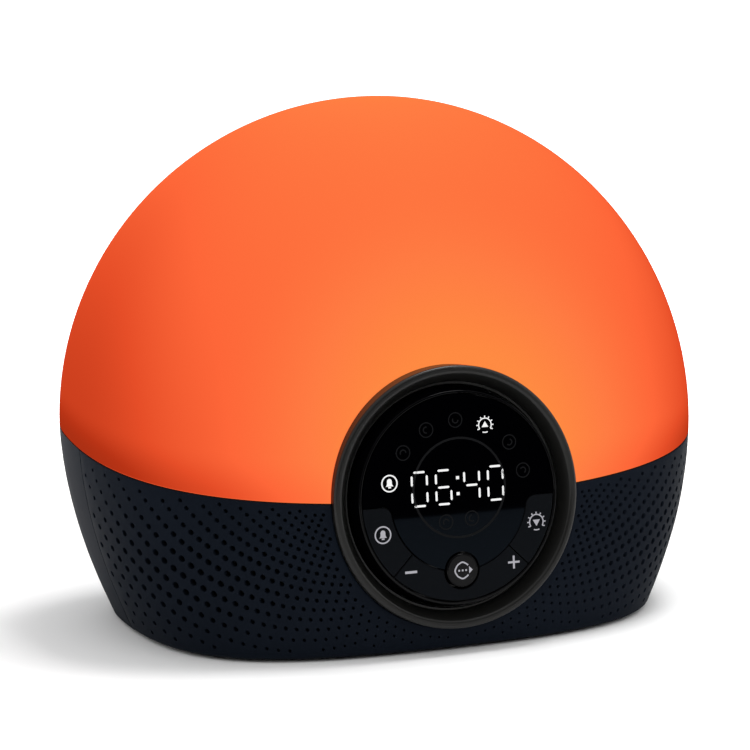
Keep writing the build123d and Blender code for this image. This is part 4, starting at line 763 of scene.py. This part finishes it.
def mottled(tree, colour_value, scale, low, high):
    """Socket with a colour that drifts between two shares of its brightness."""
    noise = add_node(tree, "ShaderNodeTexNoise", (-500, 0), {"Vector": coordinates(tree), "Scale": scale})
    shades = {"Factor": noise.outputs["Fac"], MIX_FROM: [c * low for c in colour_value],
              MIX_TO: [c * high for c in colour_value]}
    return add_node(tree, "ShaderNodeMix", (-200, 0), shades, data_type="RGBA").outputs[MIX_RESULT]


def make_grain_group():
    """Spark-eroded grain of a moulded face: a fine pebble in the normal, and a slow drift in gloss and in tone."""
    tree = bpy.data.node_groups.new("Moulded grain", "ShaderNodeTree")
    sockets = (("INPUT", "Vector", "Place"), ("INPUT", "Float", "Size Depth Roughness Drift"),
               ("INPUT", "Color", "Colour"), ("OUTPUT", "Color", "Colour"),
               ("OUTPUT", "Float", "Roughness"), ("OUTPUT", "Vector", "Normal"))
    for way, kind, names in sockets:
        for name in names.split():
            tree.interface.new_socket(name, in_out=way, socket_type="NodeSocket" + kind)
    given = add_node(tree, "NodeGroupInput", (-900, 0)).outputs
    pebble = add_node(tree, "ShaderNodeTexNoise", (-600, -200), {
        "Vector": given["Place"], "Scale": given["Size"], "Detail": 2.0, "Roughness": 0.6})
    slow = add_node(tree, "ShaderNodeTexNoise", (-600, 200), {
        "Vector": given["Place"], "Scale": 38.0, "Detail": 3.0})
    bump = add_node(tree, "ShaderNodeBump", (0, -300), {
        "Strength": given["Depth"], "Distance": 0.00004, "Height": pebble.outputs["Fac"]})
    spread = maths(tree, (-300, 200), "SUBTRACT", slow.outputs["Fac"], 0.5)
    gloss = maths(tree, (0, 200), "MULTIPLY_ADD", spread, given["Drift"], given["Roughness"])
    tone = maths(tree, (0, 0), "MULTIPLY_ADD", spread, 0.35, 1.0)
    shade = add_node(tree, "ShaderNodeVectorMath", (300, 0), {0: given["Colour"], "Scale": tone}, operation="SCALE")
    add_node(tree, "NodeGroupOutput", (600, 0), {
        "Colour": shade.outputs[0], "Roughness": gloss, "Normal": bump.outputs["Normal"]})
    return tree


def moulded(name, colour_value, roughness, size=2600.0, depth=0.15, drift=0.06, specular=0.5, tint=(1, 1, 1),
            metallic=0.0):
    """Moulded plastic or coated metal, with the shared grain group over it."""
    material, tree, shader = new_material(name)
    group = bpy.data.node_groups.get("Moulded grain") or make_grain_group()
    grain = add_node(tree, "ShaderNodeGroup", (0, 0), node_tree=group, inputs={
        "Place": coordinates(tree), "Size": size, "Depth": depth, "Roughness": roughness, "Drift": drift,
        "Colour": colour_value}).outputs
    feed(shader, {"Base Color": grain["Colour"], "Roughness": grain["Roughness"], "Normal": grain["Normal"],
                  "Specular IOR Level": specular, "Specular Tint": tint, "Metallic": metallic})
    return material


def dome_glow(body, finish):
    """Translucent dome lit from inside, drawn as a glow with its light and shade painted in.

    Its tone is highest round a spot above the display, a painted pool of light, and rises with the square of how far
    the
    surface looks up, painted light on its top. It falls where the surface looks to a side, and in a strip along the
    seam:
    painted shade. A colour ramp turns the tone into the light's colour.
    """
    material, tree, shader = new_material("dome_glow")
    x, y, z = split(tree, (-1700, 200), coordinates(tree, "Object", (-1900, 0)))
    # Painted pool of light: the tone rises towards a spot above the display
    across = maths(tree, (-1500, 400), "SUBTRACT", x, GLOW_SPOT[0])
    upward = maths(tree, (-1500, 200), "SUBTRACT", z, GLOW_SPOT[1])
    square = maths(tree, (-1300, 200), "MULTIPLY", upward, upward)
    square = maths(tree, (-1200, 400), "MULTIPLY_ADD", across, across, square)
    bloom = smooth_step(tree, (-900, 300), maths(tree, (-1100, 300), "SQRT", square), GLOW_REACH, 0.0)
    # Painted shade: the tone falls in a strip along the seam
    level = body.seam_z - body.seam_pitch * body.widest_y
    seam = maths(tree, (-1500, -100), "MULTIPLY_ADD", y, body.seam_pitch, level)
    curve = maths(tree, (-1500, -300), "MULTIPLY", x, 0.5 / body.seam_radius)
    seam = maths(tree, (-1300, -200), "MULTIPLY_ADD", curve, x, seam)
    seam_shade = smooth_step(tree, (-900, -100), maths(tree, (-1100, -100), "SUBTRACT", z, seam), SEAM_SHADE_REACH, 0.0)
    # Painted light and shade from the surface's facing: lighter where it looks up, darker where it looks to a side
    facing = split(tree, (-1700, -500), coordinates(tree, "Normal", (-1900, -500)))
    side = maths(tree, (-1300, -500), "ABSOLUTE", facing["X"])
    top = maths(tree, (-1300, -700), "MULTIPLY", facing["Z"], facing["Z"])
    tone = TONE
    shares = (bloom, BLOOM_TONE), (top, TOP_LIGHT_TONE), (side, SIDE_SHADE_TONE), (seam_shade, SEAM_SHADE_TONE)
    for step, (share, weight) in enumerate(shares):
        tone = maths(tree, (150 * step - 700, 300 - 100 * step), "MULTIPLY_ADD", share, weight, tone)
    ramp = add_node(tree, "ShaderNodeValToRGB", (-100, 0), {"Fac": tone})
    stops = ((0.0, finish.glow_dark), (0.2, finish.glow_edge), (0.36, finish.glow_deep),
             (0.52, finish.glow_soft), (0.76, finish.glow), (1.0, finish.glow_bright))
    elements = ramp.color_ramp.elements
    for share, _ in stops[1:-1]:
        elements.new(share)
    for element, (_, value) in zip(elements, stops):
        element.color = (*value, 1)
    feed(shader, {"Emission Color": ramp.outputs["Color"], "Emission Strength": 1.0, "Roughness": 0.5,
                  "Base Color": linear("140603"), "Specular IOR Level": 0.0})
    return material


def flat_light(name, value, strength):
    """Mark with its own light, faintly uneven along it: true light when lit, painted light on printed and unlit
    marks.
    """
    material, tree, shader = new_material(name)
    feed(shader, {"Emission Color": mottled(tree, value, 700.0, 0.88, 1.0), "Emission Strength": strength,
                  "Base Color": (0.005, 0.005, 0.005), "Roughness": 0.4, "Specular IOR Level": 0.02})
    return material


def finish_nodes(finish):
    """One material for each kind of CAD part: the parts that wear it, its name, colour, roughness and the rest."""
    sheen = (0.55, 0.75, 1.0)
    looks = (
        ("rear_housing front_housing", "slate_plastic", finish.housing, 0.55,
         dict(size=1500.0, depth=0.2, specular=0.022)),
        ("display_ring", "ring_satin", finish.ring, 0.36, dict(size=1200.0, depth=0.1, specular=0.24)),
        ("display_body menu_button", "piano_black", finish.gloss, 0.1,
         dict(size=300.0, depth=0.02, drift=0.02, specular=0.08)),
        ("display_lens", "lens_black", finish.gloss, 0.02,
         dict(size=120.0, depth=0.003, drift=0.01, specular=0.045, tint=sheen)),
        ("alarm_button sunset_button rocker_key", "key_black", finish.key, 0.3,
         dict(size=900.0, depth=0.06, drift=0.04, specular=0.05, tint=sheen)),
        ("rubber_feet", "foot_rubber", linear("151515"), 0.8, dict(size=900.0, depth=0.4)),
        ("display_board main_board", "board_green", linear("0e3d22"), 0.35, dict(size=500.0)),
        ("led_board", "board_white", linear("e6e6e0"), 0.4, dict(size=500.0)),
        ("board_components digit_display key_switches dc_socket", "part_black", linear("141414"), 0.45, {}),
        ("display_cover cell_holder left_speaker_frame right_speaker_frame", "inner_black", linear("1a1a1c"),
         0.55, {}),
        ("light_tray", "tray_white", linear("eeeeea"), 0.5, {}),
        ("heat_sink icon_leds", "sink_aluminium", linear("b9bcc0"), 0.35, dict(metallic=1.0)),
        ("dome_leds", "lamp_amber", linear("f2c469"), 0.3, {}),
        ("grille_cloth", "speaker_cloth", linear("0d0e10"), 0.95, dict(size=3500.0, depth=0.8)),
        ("display_ribbon", "ribbon_blue", linear("9fa4ac"), 0.5, {}),
        ("speaker_leads lamp_lead", "lead_sheath", linear("8a1e16"), 0.5, {}),
        ("left_speaker_cone right_speaker_cone", "cone_paper", linear("202224"), 0.85,
         dict(size=900.0, depth=0.5)),
        ("left_speaker_magnet right_speaker_magnet", "magnet_ferrite", linear("3a3a3c"), 0.6, {}),
        ("board_screws cover_screws housing_screws led_screws ring_screws tray_screws coin_cell", "screw_zinc",
         linear("a7a9ac"), 0.3, dict(metallic=1.0)),
    )
    missed = set(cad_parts) - {"light_dome"}
    for parts, name, value, roughness, rest in looks:
        material = moulded(name, value, roughness, **rest)
        for part in parts.split():
            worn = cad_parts[part].data.materials
            worn.clear()
            worn.append(material)
            missed.discard(part)
    if missed:
        raise RuntimeError(f"parts with no finish: {sorted(missed)}")


# ------------------------------------------------------------------ operators
class ClockStep:
    """What the build steps share: each puts its part of the clock into the scene."""

    def execute(self, context):
        self.build(context.scene, context.scene.clock_body, context.scene.clock_display)
        return {"FINISHED"}


class CLOCK_OT_finishes(ClockStep, bpy.types.Operator):
    """Gives every CAD part its finish"""

    bl_idname = "clock.finishes"
    bl_label = "Part finishes"

    def build(self, scene, body, display):
        finish_nodes(scene.clock_finish)


class CLOCK_OT_dome(ClockStep, bpy.types.Operator):
    """Builds the glowing dome over its CAD part"""

    bl_idname = "clock.dome"
    bl_label = "Dome"

    def build(self, scene, body, display):
        points, faces = dome_surface(body, display)
        material = dome_glow(body, scene.clock_finish)
        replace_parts(make_piece("glowing_dome", points, faces, material, "dome"), "light_dome")


class CLOCK_OT_front(ClockStep, bpy.types.Operator):
    """Builds the perforated front over its CAD part, and the plate under it"""

    bl_idname = "clock.front"
    bl_label = "Perforated front"

    def build(self, scene, body, display):
        slate = bpy.data.materials["slate_plastic"]
        points, faces = front_surface(body, display, scene.clock_grille)
        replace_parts(make_piece("perforated_front", points, faces, slate, "housing"), "front_housing")
        make_piece("front_floor", *front_floor_surface(body, display), slate, "housing")


class CLOCK_OT_marks(ClockStep, bpy.types.Operator):
    """Builds the lit digits and icons, and the marks on the keys"""

    bl_idname = "clock.marks"
    bl_label = "Display marks"

    def build(self, scene, body, display):
        finish, key = scene.clock_finish, display.key_depth
        lit = flat_light("lit_white", finish.lit, 1.0)
        # The printed key marks and the unlit icons glow too: their print is real, their own light is painted light
        grey = flat_light("printed_grey_glow", finish.printed, 0.75)
        unlit_glow = flat_light("unlit_grey_glow", finish.unlit, 1.0)
        icons = [*bell_in_ring(-22.7, 6.1, 2.45), *sun_strokes(9.4, 21.6, 2.1, 0.34, True)]
        signs = [stroke([(-18.7, -21.4), (-14.8, -21.4)], 0.75), stroke([(15.5, -21.4), (19.4, -21.4)], 0.62),
                 stroke([(17.45, -23.4), (17.45, -19.4)], 0.62)]
        menu = menu_strokes(0.0, display.menu_y / MM, 2.35, 0.45)
        marks = (
            ("lit_time", time_strokes(display), 0.0, lit, "digits", "clock"),
            ("lit_icons", icons, 0.0, lit, "digits", "clock"),
            ("unlit_marks", unlit_strokes(), 0.0, unlit_glow, "digits", "clock"),
            ("alarm_mark", bell_in_ring(-25.4, -9.3, 2.5), key, grey, "key", "alarm_button"),
            ("sunset_mark", sun_strokes(25.6, -9.6, 2.3, 0.36, False), key, grey, "key", "sunset_button"),
            ("rocker_marks", signs, key, grey, "key", "rocker_key"),
            ("menu_mark", menu, key - display.menu_proud, grey, "key", "menu_button"),
        )
        for name, strokes, depth, light, slot, rides_on in marks:
            make_piece(name, *mark_mesh(display, strokes, depth), light, slot, rides_on)


class CLOCK_OT_stage(ClockStep, bpy.types.Operator):
    """Builds the floor, lamps, world and camera"""

    bl_idname = "clock.stage"
    bl_label = "Stage"

    def build(self, scene, body, display):
        make_floor(scene.clock_finish)
        make_flag()
        make_lamps(scene)
        make_camera(scene)
        scene.view_settings.view_transform = "Standard"


def seen_directly(tree, place):
    """Socket that is 1 for camera, glossy and transmission rays."""
    x, y = place
    ray = add_node(tree, "ShaderNodeLightPath", place).outputs
    either = maths(tree, (x + 200, y), "MAXIMUM", ray["Is Camera Ray"], ray["Is Glossy Ray"])
    return maths(tree, (x + 400, y), "MAXIMUM", either, ray["Is Transmission Ray"])


def make_floor(finish):
    """Floor that turns up into a backdrop: a line back along Y, a quarter round, and a line up.

    Rays that see it directly also get light from it, smoothly more with the distance from the clock.
    """
    bend = np.radians(np.linspace(0, 90, 13))
    front, back, radius, top, half_width = -4.0, 2.5, 0.5, 3.0, 5.0
    y = np.concatenate([[front], back + radius * np.sin(bend), [back + radius]])
    z = np.concatenate([[0.0], radius * (1 - np.cos(bend)), [top]])
    x = np.array([-half_width, half_width])
    points = np.stack(np.broadcast_arrays(x[None, :], y[:, None], z[:, None]), -1)
    mesh = bpy.data.meshes.new("floor")
    mesh.from_pydata(points.reshape(-1, 3).tolist(), [], grid_faces(numbered(len(y), 2)).tolist())
    mesh.polygons.foreach_set("use_smooth", [True] * len(mesh.polygons))
    floor = put_in_scene("floor", mesh)
    material, tree, shader = new_material("floor_white")
    away = add_node(tree, "ShaderNodeVectorMath", (-600, -300), {0: coordinates(tree)}, operation="LENGTH")
    far = smooth_step(tree, (-400, -300), away.outputs["Value"], 0.13, 0.45, 0.0, 0.9)
    light = maths(tree, (0, -400), "MULTIPLY", far, seen_directly(tree, (-600, -600)))
    feed(shader, {"Base Color": mottled(tree, finish.floor, 3.0, 0.93, 0.95), "Roughness": 0.9,
                  "Specular IOR Level": 0.0, "Emission Color": (1, 1, 1), "Emission Strength": light})
    mesh.materials.append(material)


def make_flag():
    """Black card across the front, which only reflections see, so that the display's upper half stays dark."""
    half_width, y, top = 1.6, -1.7, 1.2
    corners = [(-half_width, y, 0.0), (half_width, y, 0.0), (half_width, y, top), (-half_width, y, top)]
    mesh = bpy.data.meshes.new("flag")
    mesh.from_pydata(corners, [], [(0, 1, 2, 3)])
    flag = put_in_scene("flag", mesh)
    flag.visible_camera = flag.visible_diffuse = flag.visible_shadow = False
    material, _, shader = new_material("flag_black")
    feed(shader, {"Base Color": (0.0, 0.0, 0.0), "Roughness": 1.0, "Specular IOR Level": 0.0})
    mesh.materials.append(material)


def make_lamps(scene):
    """Sky that lights from overhead and is seen as plain white, with a panel overhead and one at each side."""
    world = bpy.data.worlds.new("studio")
    scene.world = world
    world.use_nodes = True
    tree = world.node_tree
    upward = split(tree, (-700, 0), coordinates(tree, "Generated"))["Z"]
    rise = smooth_step(tree, (-500, 0), upward, 0.12, 0.62, 0.03, 1.1)
    seen = {"Factor": seen_directly(tree, (-700, -300)), "A": rise, "B": 1.0}
    strength = add_node(tree, "ShaderNodeMix", (-200, 0), seen).outputs["Result"]
    feed(tree.nodes["Background"], {"Strength": strength, "Color": (1, 1, 1)})
    for name, place, target, size, power in (
            ("overhead_panel", (0.33, 0.06, 1.2), (0, 0, 0), (0.45, 0.45), 9.5),
            ("left_panel", (-1.2, 0.3, 0.25), (0, 0, 0.05), (0.4, 0.4), 1.5),
            ("right_panel", (1.1, -0.5, 0.5), (0, 0, 0.05), (0.3, 0.5), 1.0)):
        data = bpy.data.lights.new(name, "AREA")
        data.shape = "RECTANGLE"
        data.size, data.size_y = size
        data.energy = power
        lamp = put_in_scene(name, data)
        lamp.location = place
        lamp.rotation_euler = (Vector(target) - Vector(place)).to_track_quat("-Z", "Y").to_euler()


def make_camera(scene):
    """Camera to the left of the front, a little above the clock."""
    yaw, pitch = math.radians(21.529), math.radians(9.662)
    aim, distance, shift_right, shift_up = Vector((0, 0.013, 0.091)), 0.75, 0.000239, -0.015669
    back = Vector((-math.sin(yaw) * math.cos(pitch), -math.cos(yaw) * math.cos(pitch), math.sin(pitch)))
    right = Vector((math.cos(yaw), -math.sin(yaw), 0))
    up = back.cross(right)
    data = bpy.data.cameras.new("camera")
    data.sensor_width, data.lens = 36.0, 109.088
    data.clip_start, data.clip_end = 0.01, 20.0
    camera = put_in_scene("camera", data)
    turned = Matrix((right, up, back)).transposed().to_4x4()
    camera.matrix_world = Matrix.Translation(aim + right * shift_right + up * shift_up + back * distance) @ turned
    scene.camera = camera


class CLOCK_PT_panel(bpy.types.Panel):
    """Sidebar panel with the build steps and the sizes"""

    bl_label = "Sunrise alarm clock"
    bl_idname = "CLOCK_PT_panel"
    bl_space_type = "VIEW_3D"
    bl_region_type = "UI"
    bl_category = "Clock"

    def draw(self, context):
        for operator in OPERATORS:
            self.layout.operator(operator.bl_idname)
        for name, group in GROUPS:
            box = self.layout.box()
            box.label(text=group.__doc__.split(":")[0].rstrip("."))
            for key in group.__annotations__:
                box.prop(getattr(context.scene, name), key)


OPERATORS = (CLOCK_OT_finishes, CLOCK_OT_dome, CLOCK_OT_front, CLOCK_OT_marks, CLOCK_OT_stage)


def register():
    for _, group in GROUPS:
        bpy.utils.register_class(group)
    for kind in (*OPERATORS, CLOCK_PT_panel):
        bpy.utils.register_class(kind)
    for name, group in GROUPS:
        setattr(bpy.types.Scene, name, bpy.props.PointerProperty(type=group))


def unregister():
    for name, _ in GROUPS:
        delattr(bpy.types.Scene, name)
    for kind in (CLOCK_PT_panel, *OPERATORS):
        bpy.utils.unregister_class(kind)
    for _, group in GROUPS:
        bpy.utils.unregister_class(group)


def main():
    """Builds everything in order."""
    register()
    clock = bpy.ops.clock
    for step in (clock.finishes, clock.dome, clock.front, clock.marks, clock.stage):
        step()


if __name__ == "__main__":
    main()
